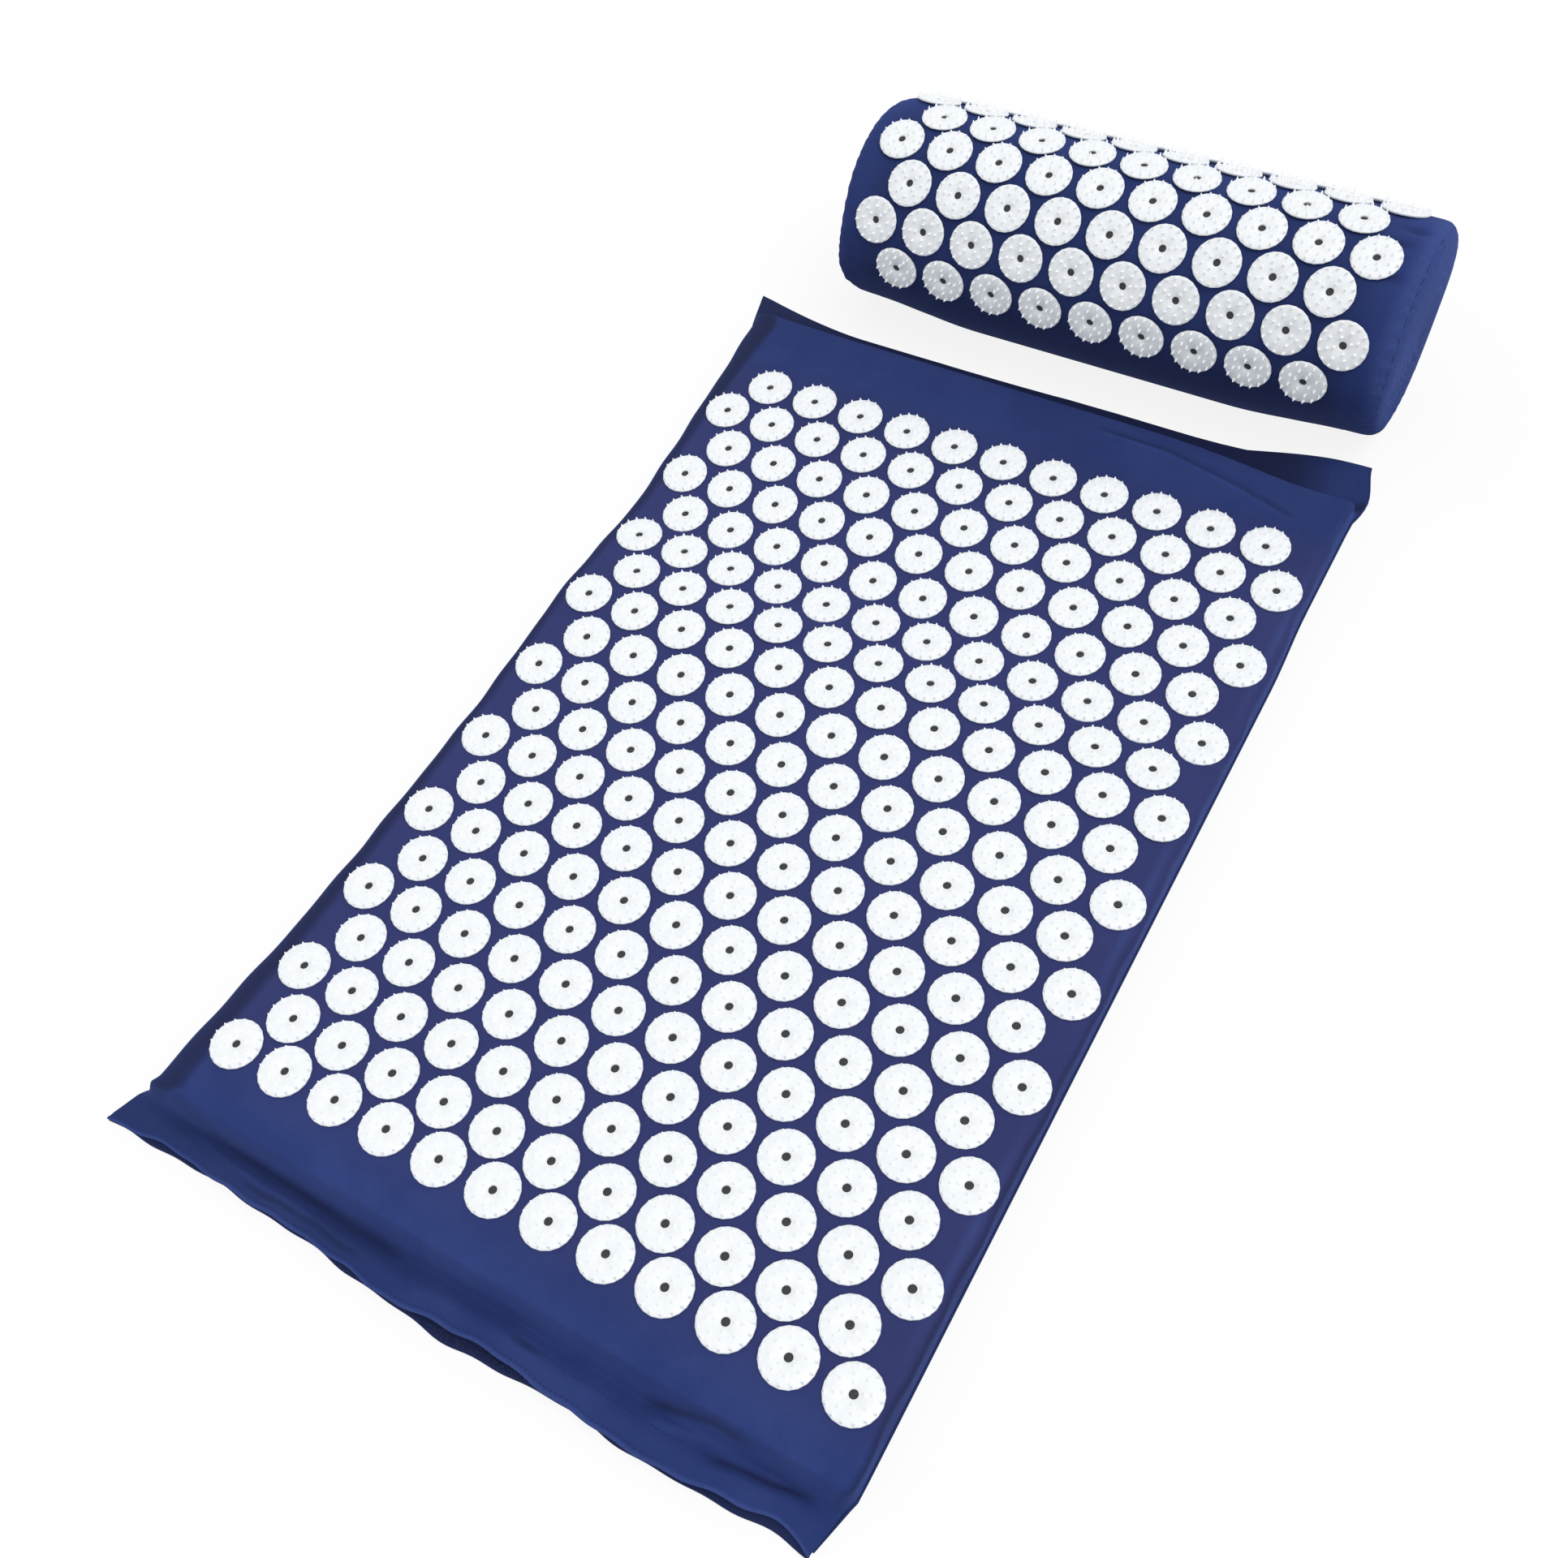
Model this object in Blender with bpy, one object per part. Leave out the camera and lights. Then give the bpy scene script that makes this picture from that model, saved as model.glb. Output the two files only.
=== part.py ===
"""Acupressure mat with its matching neck pillow: quilted cotton covers that carry rigid spiked discs.

Metres, +Z up. The origin is on the floor under the middle of the mat's disc field, +Y runs to the pillow.
The mat is a foam slab in a cloth sleeve. The pillow is a foam roll with a flat foot, in a zipped cover.
"""

import math

import bmesh
import bpy
from mathutils import Matrix, Vector
from mathutils.geometry import delaunay_2d_cdt

MM = 0.001

# Cloth, and the clearance between pieces that touch
CLOTH = 1.0 * MM
HEM = 2 * CLOTH
SEAT_GAP = 0.3 * MM

# One spiked disc
DISC_RADIUS = 14.8 * MM
DISC_THICKNESS = 1.6 * MM
DISC_DRAFT = 0.5 * MM
DISC_SIDES = 16
PLATE_SIDES = 8
HOLE_RADIUS = 2.3 * MM
HOLE_SIDES = 6
SPIKE_HEIGHT = 2.6 * MM
SPIKE_RADIUS = 0.9 * MM
SPIKE_SIDES = 3
SPIKE_RINGS = ((15, 0.86), (8, 0.57), (4, 0.32))

# The staggered field of discs: the gap between neighbours, and the row pitch as a share of the column pitch
COLUMN_GAP = 4.4 * MM
DISC_MARGIN = 1.5 * MM
MAT_ROW_SHARE = 0.832
PILLOW_ROW_SHARE = 0.803

# Mat: disc rows, foam slab and the cover's edges
MAT_ROWS = 20
MAT_LONG_ROW = 12
FOAM_THICKNESS = 17.8 * MM
RIGHT_BLANK = 2.2 * MM
LEFT_BLANK = 5.7 * MM
NEAR_BLANK = 19.4 * MM
FAR_BLANK = 42.4 * MM
SHOULDER = 6.0 * MM
LEFT_BOW = 8.0 * MM
FALL = 12.0 * MM
TAIL_DRIFT = 16.0 * MM
MOUTH_REACH = 27.5 * MM
MOUTH_VALLEY = 11.5 * MM
MOUTH_LIP = 13.5 * MM
HEM_DEPTH = 14.0 * MM
LOWER_LIP_REACH = 4.0 * MM
TAIL_REACH = 26.0 * MM
EAR = 14.0 * MM
TAIL_BEND_SHARE = 0.7
STRIP_WIDTH = 12.0 * MM
STRIP_THICKNESS = 1.2 * MM
SEAM_RADIUS = 0.9 * MM
SEAM_SIDES = 5

# Soft swells along the mat: height, place, half width and slant across the mat
SWELLS = (
    (3.5 * MM, -282.0 * MM, 79.0 * MM, 11.0 * MM),
    (4.5 * MM, 76.0 * MM, 54.0 * MM, 6.0 * MM),
    (-4.0 * MM, 135.0 * MM, 42.0 * MM, -17.0 * MM),
    (3.0 * MM, 273.0 * MM, 68.0 * MM, 0.0),
)

# Pillow: a roll with a flat foot, its axis along X
PILLOW_ROWS = 7
PILLOW_LONG_ROW = 10
PILLOW_ROWS_PER_TURN = 16
PILLOW_X = 12.0 * MM
PILLOW_FIELD_SHIFT = 3.0 * MM
PILLOW_GAP = 3.5 * MM
FOOT_SINK = 6.5 * MM
END_BLANK = 16.2 * MM
PILLOW_CORNER = 25.0 * MM
END_CROWN = 2.5 * MM
END_SEAM_ANGLE = math.radians(45)
FIRST_ROW_ANGLE = math.radians(6.9)
FRONT_SEAM_ANGLE = math.radians(-52)
ZIP_ANGLE = math.radians(170)
FULL_TURN = 2 * math.pi

# Zip along the pillow's back
ZIP_SLOT = 12.4 * MM
ZIP_CHAIN_WIDTH = 4.0 * MM
ZIP_CHAIN_THICKNESS = 1.8 * MM
ZIP_CHAIN_PROUD = 0.8 * MM
STOP_LENGTH = 4.0 * MM
STOP_PROUD = 1.8 * MM
SLIDER_LENGTH = 11.0 * MM
SLIDER_WIDTH = 8.0 * MM
SLIDER_NOSE_WIDTH = 6.6 * MM
SLIDER_PLATE = 1.6 * MM
SLIDER_END_GAP = 6.0 * MM
BRIDGE_LENGTH = 6.0 * MM
BRIDGE_WIDTH = 2.6 * MM
BRIDGE_BAR = 1.2 * MM
BRIDGE_OPENING = 2.4 * MM
PULL_LENGTH = 27.0 * MM
PULL_WIDTH = 8.0 * MM
PULL_THICKNESS = 1.2 * MM
PULL_ARM = 1.6 * MM
PULL_EYE = 6.0 * MM
PULL_NECK_WIDTH = 5.4 * MM
PULL_HOLE = 1.4 * MM

# Values worked out from the ones above
COLUMN_PITCH = 2 * DISC_RADIUS + COLUMN_GAP
MAT_ROW_PITCH = MAT_ROW_SHARE * COLUMN_PITCH
FIELD_HALF_WIDTH = (MAT_LONG_ROW - 1) / 2 * COLUMN_PITCH + DISC_RADIUS
FIELD_HALF_LENGTH = (MAT_ROWS - 1) / 2 * MAT_ROW_PITCH + DISC_RADIUS
FLAT_RIGHT = FIELD_HALF_WIDTH + RIGHT_BLANK - SHOULDER
FLAT_LEFT = FIELD_HALF_WIDTH + LEFT_BLANK - SHOULDER
FOAM_NEAR = -FIELD_HALF_LENGTH - NEAR_BLANK
FOAM_FAR = FIELD_HALF_LENGTH + FAR_BLANK
MOUTH_Y = FOAM_NEAR - MOUTH_REACH
LOWER_LIP_Y = MOUTH_Y - LOWER_LIP_REACH
TAIL_FAR_Y = FOAM_FAR + TAIL_REACH
TAIL_BEND = TAIL_BEND_SHARE * FLAT_RIGHT
MAT_TOP = CLOTH + SEAT_GAP + FOAM_THICKNESS + SEAT_GAP + CLOTH
WALL_FOOT = CLOTH + SEAT_GAP
DROP = MAT_TOP - WALL_FOOT
SHOULDER_ARC = SHOULDER * math.pi / 2
MARGIN = SHOULDER_ARC + DROP - SHOULDER
REACH_RIGHT = FLAT_RIGHT + MARGIN
REACH_LEFT = FLAT_LEFT + MARGIN
MOUTH_EDGE = HEM + SEAT_GAP + HEM
TAIL_LEVEL = CLOTH + SEAT_GAP + CLOTH
PILLOW_ROW_PITCH = PILLOW_ROW_SHARE * COLUMN_PITCH
PILLOW_RADIUS = PILLOW_ROW_PITCH * PILLOW_ROWS_PER_TURN / FULL_TURN
PILLOW_AXIS_HEIGHT = PILLOW_RADIUS - FOOT_SINK
PILLOW_Y = TAIL_FAR_Y + PILLOW_GAP + PILLOW_RADIUS
PILLOW_LENGTH = (PILLOW_LONG_ROW - 1) * COLUMN_PITCH + 2 * (DISC_RADIUS + END_BLANK)
PILLOW_STRAIGHT = PILLOW_LENGTH / 2 - PILLOW_CORNER


# The startup scene is cleared first
for old in list(bpy.data.objects):
    bpy.data.objects.remove(old)


def material(name, colour, roughness, metallic=0.0):
    """A Principled material with one colour."""
    made = bpy.data.materials.new(name)
    made.use_nodes = True
    shader = made.node_tree.nodes["Principled BSDF"]
    shader.inputs["Base Color"].default_value = (*colour, 1.0)
    shader.inputs["Roughness"].default_value = roughness
    shader.inputs["Metallic"].default_value = metallic
    return made


NAVY_CLOTH = material("navy_cloth", (0.028, 0.045, 0.160), 0.85)
WHITE_PLASTIC = material("white_plastic", (0.86, 0.88, 0.90), 0.45)
FOAM = material("foam", (0.80, 0.76, 0.62), 0.95)
HOOK_AND_LOOP = material("hook_and_loop", (0.020, 0.028, 0.090), 0.95)
SEAM_THREAD = material("seam_thread", (0.018, 0.026, 0.085), 0.8)
ZIP_TAPE = material("zip_tape", (0.024, 0.036, 0.120), 0.9)
ZIP_COIL = material("zip_coil", (0.030, 0.040, 0.110), 0.5)
ZIP_METAL = material("zip_metal", (0.55, 0.55, 0.57), 0.3, 1.0)


def finish(name, mesh, materials):
    """Closes the bmesh into a named object with smooth round surfaces."""
    bmesh.ops.recalc_face_normals(mesh, faces=mesh.faces)
    data = bpy.data.meshes.new(name)
    mesh.to_mesh(data)
    mesh.free()
    for each in materials:
        data.materials.append(each)
    data.shade_smooth()
    data.set_sharp_from_angle(angle=math.radians(35))
    made = bpy.data.objects.new(name, data)
    bpy.context.scene.collection.objects.link(made)
    return made


def smooth(share):
    """Runs from 0 to 1 with level ends."""
    held = min(max(share, 0.0), 1.0)
    return held * held * (3 - 2 * held)


def spread(first, last, count):
    """Evenly spaced values from first to last."""
    return [first + (last - first) * k / (count - 1) for k in range(count)]


def staggered(rows, long_row, row_pitch, first_row_v, long_rows):
    """Centres of the discs: long and short rows take turns, half a pitch apart."""
    centres = []
    for row in range(rows):
        count = long_row if row % 2 == long_rows else long_row - 1
        for place in range(count):
            u = (place - (count - 1) / 2) * COLUMN_PITCH
            centres.append((u, first_row_v + row * row_pitch, row))
    return centres


def seat(surface, u, v):
    """The frame of a disc: its origin on the cloth, X along u and Z along the cloth's normal."""
    step = DISC_MARGIN
    along = surface(u + step, v, 0) - surface(u - step, v, 0)
    across = surface(u, v + step, 0) - surface(u, v - step, 0)
    x_axis = along.normalized()
    z_axis = along.cross(across).normalized()
    y_axis = z_axis.cross(x_axis)
    frame = Matrix((x_axis, y_axis, z_axis)).transposed().to_4x4()
    return Matrix.Translation(surface(u, v, 0)) @ frame


def circle(sides, radius, turn=0.0):
    """Corners of a regular polygon about the origin."""
    angles = [turn + FULL_TURN * k / sides for k in range(sides)]
    return [(radius * math.cos(a), radius * math.sin(a)) for a in angles]


def triangulate(outer, inner, loose=()):
    """Delaunay triangles between an outer loop, the loops inside it and loose points, with the loop of each."""
    loops = [outer, *inner]
    points = [Vector(point) for loop in (*loops, loose) for point in loop]
    faces, start = [], 0
    for loop in loops:
        turning = sum(a[0] * b[1] - a[1] * b[0] for a, b in zip(loop, [*loop[1:], loop[0]]))
        order = list(range(start, start + len(loop)))
        faces.append(order if turning > 0 else order[::-1])
        start += len(loop)
    epsilon = SEAT_GAP * MM
    _, _, triangles, sources, _, origins = delaunay_2d_cdt(points, [], faces, 1, epsilon)
    for corners, held_by in zip(triangles, origins):
        inside = [k - 1 for k in held_by if k > 0]
        yield [sources[corner][0] for corner in corners], (inside[0] if inside else None)


def quads(mesh, grid, skip=()):
    """Triangles between neighbouring points of a grid, apart from the cells in skip."""
    for r in range(len(grid) - 1):
        for c in range(len(grid[0]) - 1):
            if (r, c) not in skip:
                mesh.faces.new((grid[r][c], grid[r][c + 1], grid[r + 1][c + 1]))
                mesh.faces.new((grid[r][c], grid[r + 1][c + 1], grid[r + 1][c]))


def rim(grid):
    """The points round the edge of a grid, in order."""
    right = [row[-1] for row in grid[1:]]
    far = list(reversed(grid[-1]))[1:]
    left = [row[0] for row in reversed(grid[1:-1])]
    return grid[0] + right + far + left


def wall(mesh, one, other, mirrored=False):
    """A band of triangles between two closed loops of points; mirrored turns its diagonals over."""
    for k in range(len(one)):
        if mirrored:
            mesh.faces.new((one[k - 1], one[k], other[k - 1]))
            mesh.faces.new((one[k], other[k], other[k - 1]))
        else:
            mesh.faces.new((one[k - 1], one[k], other[k]))
            mesh.faces.new((one[k - 1], other[k], other[k - 1]))


def slab(name, top, bottom, columns, rows, slot, flat_foot=False):
    """A closed body between two surfaces of u and v. A flat foot needs points along its edge only."""
    mesh = bmesh.new()
    upper = [[mesh.verts.new(top(u, v)) for u in columns] for v in rows]
    quads(mesh, upper)
    if flat_foot:
        foot = [mesh.verts.new(bottom(u, v)) for u, v in rim([[(u, v) for u in columns] for v in rows])]
        for corners, _ in triangulate([vert.co.xy for vert in foot], []):
            mesh.faces.new([foot[k] for k in corners])
    else:
        lower = [[mesh.verts.new(bottom(u, v)) for u in columns] for v in rows]
        quads(mesh, lower)
        foot = rim(lower)
    wall(mesh, rim(upper), foot)
    return finish(name, mesh, [slot])


def disc_panel(name, surface, depth, columns, rows, discs, loose, fold):
    """A cloth panel whose discs stand on its outer face.

    The middle of the panel, where the discs are, is triangulated round them. The edges are a grid. Discs
    whose row is in loose are pieces of their own, and the cloth runs on flat under them. Beside the short
    rows, the cloth keeps a point at fold, where it starts to turn down.
    """
    mesh = bmesh.new()
    outer = [[mesh.verts.new(surface(u, v, 0)) for u in columns] for v in rows]
    inner = [[mesh.verts.new(surface(u, v, -depth(v))) for u in columns] for v in rows]
    wall(mesh, rim(outer), rim(inner))
    quads(mesh, inner)
    reach_u = max(abs(u) for u, _, _ in discs) + DISC_RADIUS + DISC_MARGIN / 2
    low_v = min(v for _, v, _ in discs) - DISC_RADIUS - DISC_MARGIN / 2
    high_v = max(v for _, v, _ in discs) + DISC_RADIUS + DISC_MARGIN / 2
    c0 = max(k for k, u in enumerate(columns) if u <= -reach_u)
    c1 = min(k for k, u in enumerate(columns) if u >= reach_u)
    r0 = max(k for k, v in enumerate(rows) if v <= low_v)
    r1 = min(k for k, v in enumerate(rows) if v >= high_v)
    quads(mesh, outer, {(r, c) for r in range(r0, r1) for c in range(c0, c1)})
    patch = rim([row[c0:c1 + 1] for row in outer[r0:r1 + 1]])
    patch_uv = rim([[(u, v) for u in columns[c0:c1 + 1]] for v in rows[r0:r1 + 1]])
    rings, rings_uv = [], []
    for u, v, _ in discs:
        frame = seat(surface, u, v)
        foot = circle(PLATE_SIDES, DISC_RADIUS)
        rings_uv.append([(u + x, v + y) for x, y in foot])
        level = frame.inverted()
        lifts = [max((level @ surface(u + x, v + y, 0)).z, 0.0) for x, y in foot]
        rings.append([mesh.verts.new(frame @ Vector((x, y, z))) for (x, y), z in zip(foot, lifts)])
    short_rows = {v for _, v, _ in discs} - {v for u, v, _ in discs if abs(u) + DISC_RADIUS > fold}
    folds_uv = [(side * fold, v) for v in sorted(short_rows) for side in (-1, 1)]
    folds = [mesh.verts.new(surface(u, v, 0)) for u, v in folds_uv]
    points = patch + [vert for ring in rings for vert in ring] + folds
    for corners, held_by in triangulate(patch_uv, rings_uv, folds_uv):
        if held_by is None or discs[held_by][2] in loose:
            mesh.faces.new([points[k] for k in corners])
    for (u, v, row), ring in zip(discs, rings):
        if row in loose:
            continue
        frame = seat(surface, u, v)
        crown = circle(PLATE_SIDES, DISC_RADIUS - DISC_DRAFT)
        top = [mesh.verts.new(frame @ Vector((x, y, DISC_THICKNESS))) for x, y in crown]
        before = len(mesh.faces)
        wall(mesh, ring, top)
        mesh.faces.new(top)
        mesh.faces.ensure_lookup_table()
        for face in mesh.faces[before:]:
            face.material_index = 1
    return finish(name, mesh, [NAVY_CLOTH, WHITE_PLASTIC])


def spiked_disc(name, frame):
    """A round plate with a centre hole and rings of moulded spikes, seated just above the cloth."""
    mesh = bmesh.new()

    def loop(corners, z):
        return [mesh.verts.new((x, y, z)) for x, y in corners]

    def face_with_holes(outer, holes):
        flat = [[vert.co.xy for vert in each] for each in (outer, *holes)]
        points = [vert for each in (outer, *holes) for vert in each]
        for corners, held_by in triangulate(flat[0], flat[1:]):
            if held_by is None:
                mesh.faces.new([points[k] for k in corners])

    foot = loop(circle(DISC_SIDES, DISC_RADIUS), SEAT_GAP)
    edge = loop(circle(DISC_SIDES, DISC_RADIUS - DISC_DRAFT), SEAT_GAP + DISC_THICKNESS)
    hole_foot = loop(circle(HOLE_SIDES, HOLE_RADIUS), SEAT_GAP)
    hole_edge = loop(circle(HOLE_SIDES, HOLE_RADIUS), SEAT_GAP + DISC_THICKNESS)
    spikes = []
    for count, radius_share in SPIKE_RINGS:
        for x, y in circle(count, radius_share * DISC_RADIUS, FULL_TURN / 4):
            around = circle(SPIKE_SIDES, SPIKE_RADIUS, math.atan2(y, x))
            base = loop([(x + dx, y + dy) for dx, dy in around], SEAT_GAP + DISC_THICKNESS)
            tip = mesh.verts.new((x, y, SEAT_GAP + DISC_THICKNESS + SPIKE_HEIGHT))
            spikes.append(base)
            for k in range(SPIKE_SIDES):
                mesh.faces.new((base[k - 1], base[k], tip))
    face_with_holes(edge, [hole_edge, *spikes])
    face_with_holes(foot, [hole_foot])
    wall(mesh, foot, edge)
    wall(mesh, hole_foot, hole_edge)
    mesh.transform(frame)
    return finish(name, mesh, [WHITE_PLASTIC])


# Mat surfaces


def cover_hold(v):
    """How much the cover keeps the foam's form at v: 1 over the slab, 0 in the empty ends."""
    near = smooth((v - (FOAM_NEAR - FALL)) / FALL)
    far = smooth((FOAM_FAR + FALL - v) / FALL)
    return near * far


def swell(u, v):
    """Height of the mat's soft waves."""
    waves = 0.0
    for height, place, width, slant in SWELLS:
        waves += height * math.exp(-(((v - place - slant * u / FLAT_RIGHT) / width) ** 2))
    return waves


def outward(u):
    """0 over the middle of the cover, growing past the tail's bend to 1 at its edge."""
    reach = REACH_RIGHT if u > 0 else REACH_LEFT
    return max(abs(u) - TAIL_BEND, 0.0) / (reach - TAIL_BEND)


def ear(u, v):
    """How far the far tail's corners run out past its middle."""
    return EAR * outward(u) * smooth((v - FOAM_FAR) / (TAIL_FAR_Y - FOAM_FAR))


def bow(v):
    """How far the left side bows out towards the mat's ends."""
    return LEFT_BOW * (v / FOAM_FAR) ** 2


def tail_height(u, v):
    """Height of the cloth's outer face where no foam holds it up."""
    if v > 0:
        return TAIL_LEVEL
    valley_y = FOAM_NEAR - FALL
    rise = min(max((valley_y - v) / (valley_y - MOUTH_Y), 0.0), 1.0)
    middle = MOUTH_VALLEY + (MOUTH_LIP - MOUTH_VALLEY) * rise
    return MOUTH_EDGE + (middle - MOUTH_EDGE) * (1 - outward(u))


def mat_cover(u, v, h):
    """The top panel's outer face, h above it: flat, over a round shoulder and down to the base."""
    side = 1 if u > 0 else -1
    flat = FLAT_RIGHT if u > 0 else FLAT_LEFT
    past = max(abs(u) - flat, 0.0)
    lean = min(past / SHOULDER, math.pi / 2)
    drop = SHOULDER * (1 - math.cos(lean)) + max(past - SHOULDER_ARC, 0.0)
    out = min(abs(u), flat) + (SHOULDER + h) * math.sin(lean)
    if u < 0:
        out += bow(v) * smooth(past / SHOULDER)
    held_z = MAT_TOP - drop + h * math.cos(lean) + swell(u, v) * (1 - drop / DROP)
    hold = cover_hold(v)
    x = hold * side * out + (1 - hold) * (u - TAIL_DRIFT)
    z = hold * held_z + (1 - hold) * (tail_height(u, v) + h)
    return Vector((x, v + ear(u, v), z))


def mat_edge_x(side, v):
    """Where the side seam runs: the foot of the wall over the slab, the cloth's edge in the tails."""
    flat = FLAT_RIGHT if side > 0 else FLAT_LEFT
    held = flat + SHOULDER + (0.0 if side > 0 else bow(v))
    hold = cover_hold(v)
    return hold * side * held + (1 - hold) * (side * (flat + MARGIN) - TAIL_DRIFT)


def mat_base(u, v, h):
    """The base panel's plane, h above the floor, drawn in between the two side seams."""
    share = (u + REACH_LEFT) / (REACH_LEFT + REACH_RIGHT)
    left, right = mat_edge_x(-1, v), mat_edge_x(1, v)
    return Vector((left + (right - left) * share, v + ear(u, v), h))


def foam_foot(u, v):
    """The slab's underside, drawn in between the two walls."""
    share = (u + REACH_LEFT) / (REACH_LEFT + REACH_RIGHT)
    left, right = mat_edge_x(-1, v) + FOAM_INSET, mat_edge_x(1, v) - FOAM_INSET
    return Vector((left + (right - left) * share, v, WALL_FOOT))


def cover_depth(v):
    """Thickness of the top panel: doubled along the mouth, where its edge is turned under."""
    return HEM if v <= MOUTH_Y + HEM_DEPTH else CLOTH


def base_depth(v):
    """Thickness of the base panel, doubled at the lower lip."""
    return HEM if v <= LOWER_LIP_Y + HEM_DEPTH else CLOTH


# Mat pieces

MAT_FIRST_ROW = -(MAT_ROWS - 1) / 2 * MAT_ROW_PITCH
MAT_DISCS = staggered(MAT_ROWS, MAT_LONG_ROW, MAT_ROW_PITCH, MAT_FIRST_ROW, 0)
FIELD_U = (MAT_LONG_ROW - 1) / 2 * COLUMN_PITCH + DISC_RADIUS + DISC_MARGIN
FIELD_V = -MAT_FIRST_ROW + DISC_RADIUS + DISC_MARGIN


def mat_columns(inset):
    """Columns across the cover: a few on the flat, more round each shoulder and down each wall."""
    flat = [-FIELD_U, -FLAT_RIGHT, -TAIL_BEND, 0.0, TAIL_BEND, FLAT_RIGHT, FIELD_U]
    wall_middle = (SHOULDER_ARC + MARGIN) / 2
    left_turn = FLAT_LEFT + SHOULDER_ARC / 2
    right = [FLAT_RIGHT + past for past in (SHOULDER_ARC, wall_middle, MARGIN - inset)]
    left = [-(FLAT_LEFT + past) for past in (MARGIN - inset, wall_middle, SHOULDER_ARC)]
    return left + [-left_turn] + flat + right


def fall_rows(start, end):
    """Rows down the slope where the cover leaves the foam."""
    return [start + (end - start) * share for share in (0.25, 0.5, 0.75)]


MAT_FIELD_ROWS = [-FIELD_V] + [MAT_FIRST_ROW + k * MAT_ROW_PITCH for k in range(MAT_ROWS)] + [FIELD_V]
VALLEY_Y = FOAM_NEAR - FALL
TAIL_START = FOAM_FAR + FALL
HEM_LINE = MOUTH_Y + HEM_DEPTH
COVER_ROWS = (
    [MOUTH_Y, HEM_LINE, VALLEY_Y]
    + fall_rows(VALLEY_Y, FOAM_NEAR)
    + [FOAM_NEAR] + MAT_FIELD_ROWS + [(FIELD_V + FOAM_FAR) / 2, FOAM_FAR]
    + fall_rows(FOAM_FAR, TAIL_START)
    + [TAIL_START, (TAIL_START + TAIL_FAR_Y) / 2, TAIL_FAR_Y]
)

disc_panel("mat_top_panel", mat_cover, cover_depth, mat_columns(0.0), COVER_ROWS, MAT_DISCS, (), FLAT_RIGHT)

BASE_HEM_LINE = LOWER_LIP_Y + HEM_DEPTH
BASE_ROWS = (
    [LOWER_LIP_Y, BASE_HEM_LINE, VALLEY_Y]
    + fall_rows(VALLEY_Y, FOAM_NEAR)
    + spread(FOAM_NEAR, FOAM_FAR, 9)
    + fall_rows(FOAM_FAR, TAIL_START)
    + [TAIL_START, (TAIL_START + TAIL_FAR_Y) / 2, TAIL_FAR_Y]
)
BASE_COLUMNS = [-REACH_LEFT, -TAIL_BEND, 0.0, TAIL_BEND, REACH_RIGHT]
slab(
    "mat_base_panel",
    lambda u, v: mat_base(u, v, base_depth(v)),
    lambda u, v: mat_base(u, v, 0),
    BASE_COLUMNS,
    BASE_ROWS,
    NAVY_CLOTH,
    flat_foot=True,
)

FOAM_LIFT = CLOTH
FOAM_INSET = CLOTH + SEAT_GAP
FOAM_ROWS = [FOAM_NEAR + SEAT_GAP] + MAT_FIELD_ROWS + [(FIELD_V + FOAM_FAR) / 2, FOAM_FAR - SEAT_GAP]
slab(
    "mat_foam_core",
    lambda u, v: mat_cover(u, v, -FOAM_INSET),
    lambda u, v: foam_foot(u, v),
    mat_columns(FOAM_LIFT),
    FOAM_ROWS,
    FOAM,
    flat_foot=True,
)

STRIP_COLUMNS = [-TAIL_BEND, 0.0, TAIL_BEND]
LOOP_ROWS = spread(MOUTH_Y + CLOTH, MOUTH_Y + CLOTH + STRIP_WIDTH, 2)
HOOK_ROWS = spread(LOWER_LIP_Y + CLOTH, LOWER_LIP_Y + CLOTH + STRIP_WIDTH, 2)
UNDER_HEM = -(HEM + SEAT_GAP)
slab(
    "mat_loop_strip",
    lambda u, v: mat_cover(u, v, UNDER_HEM),
    lambda u, v: mat_cover(u, v, UNDER_HEM - STRIP_THICKNESS),
    STRIP_COLUMNS,
    LOOP_ROWS,
    HOOK_AND_LOOP,
)
slab(
    "mat_hook_strip",
    lambda u, v: mat_base(u, v, HEM + SEAT_GAP + STRIP_THICKNESS),
    lambda u, v: mat_base(u, v, HEM + SEAT_GAP),
    STRIP_COLUMNS,
    HOOK_ROWS,
    HOOK_AND_LOOP,
)


def set_off(path, distance):
    """The path moved to its left by a distance, with mitred corners."""
    moved = []
    for k, point in enumerate(path):
        sides = []
        for a, b in ((max(k - 1, 0), max(k, 1)), (min(k, len(path) - 2), min(k + 1, len(path) - 1))):
            along = (Vector(path[b]) - Vector(path[a])).normalized()
            sides.append(Vector((-along.y, along.x)))
        mitre = (sides[0] + sides[1]) / (1 + sides[0].dot(sides[1]))
        moved.append(Vector(point) + mitre * distance)
    return moved


def seam_route():
    """The line of the seam, from the mouth up the left side, across the far end and down the right."""
    side_rows = (
        [MOUTH_Y, VALLEY_Y] + fall_rows(VALLEY_Y, FOAM_NEAR) + spread(FOAM_NEAR, FOAM_FAR, 9)
        + fall_rows(FOAM_FAR, TAIL_START) + [TAIL_START, (TAIL_START + TAIL_FAR_Y) / 2, TAIL_FAR_Y]
    )
    left = [mat_base(-REACH_LEFT, v, 0).xy for v in side_rows]
    right = [mat_base(REACH_RIGHT, v, 0).xy for v in side_rows]
    far = [mat_base(u, TAIL_FAR_Y, 0).xy for u in (-TAIL_BEND, TAIL_BEND)]
    return set_off(left + far + right[::-1], SEAT_GAP + SEAM_RADIUS)


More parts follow.
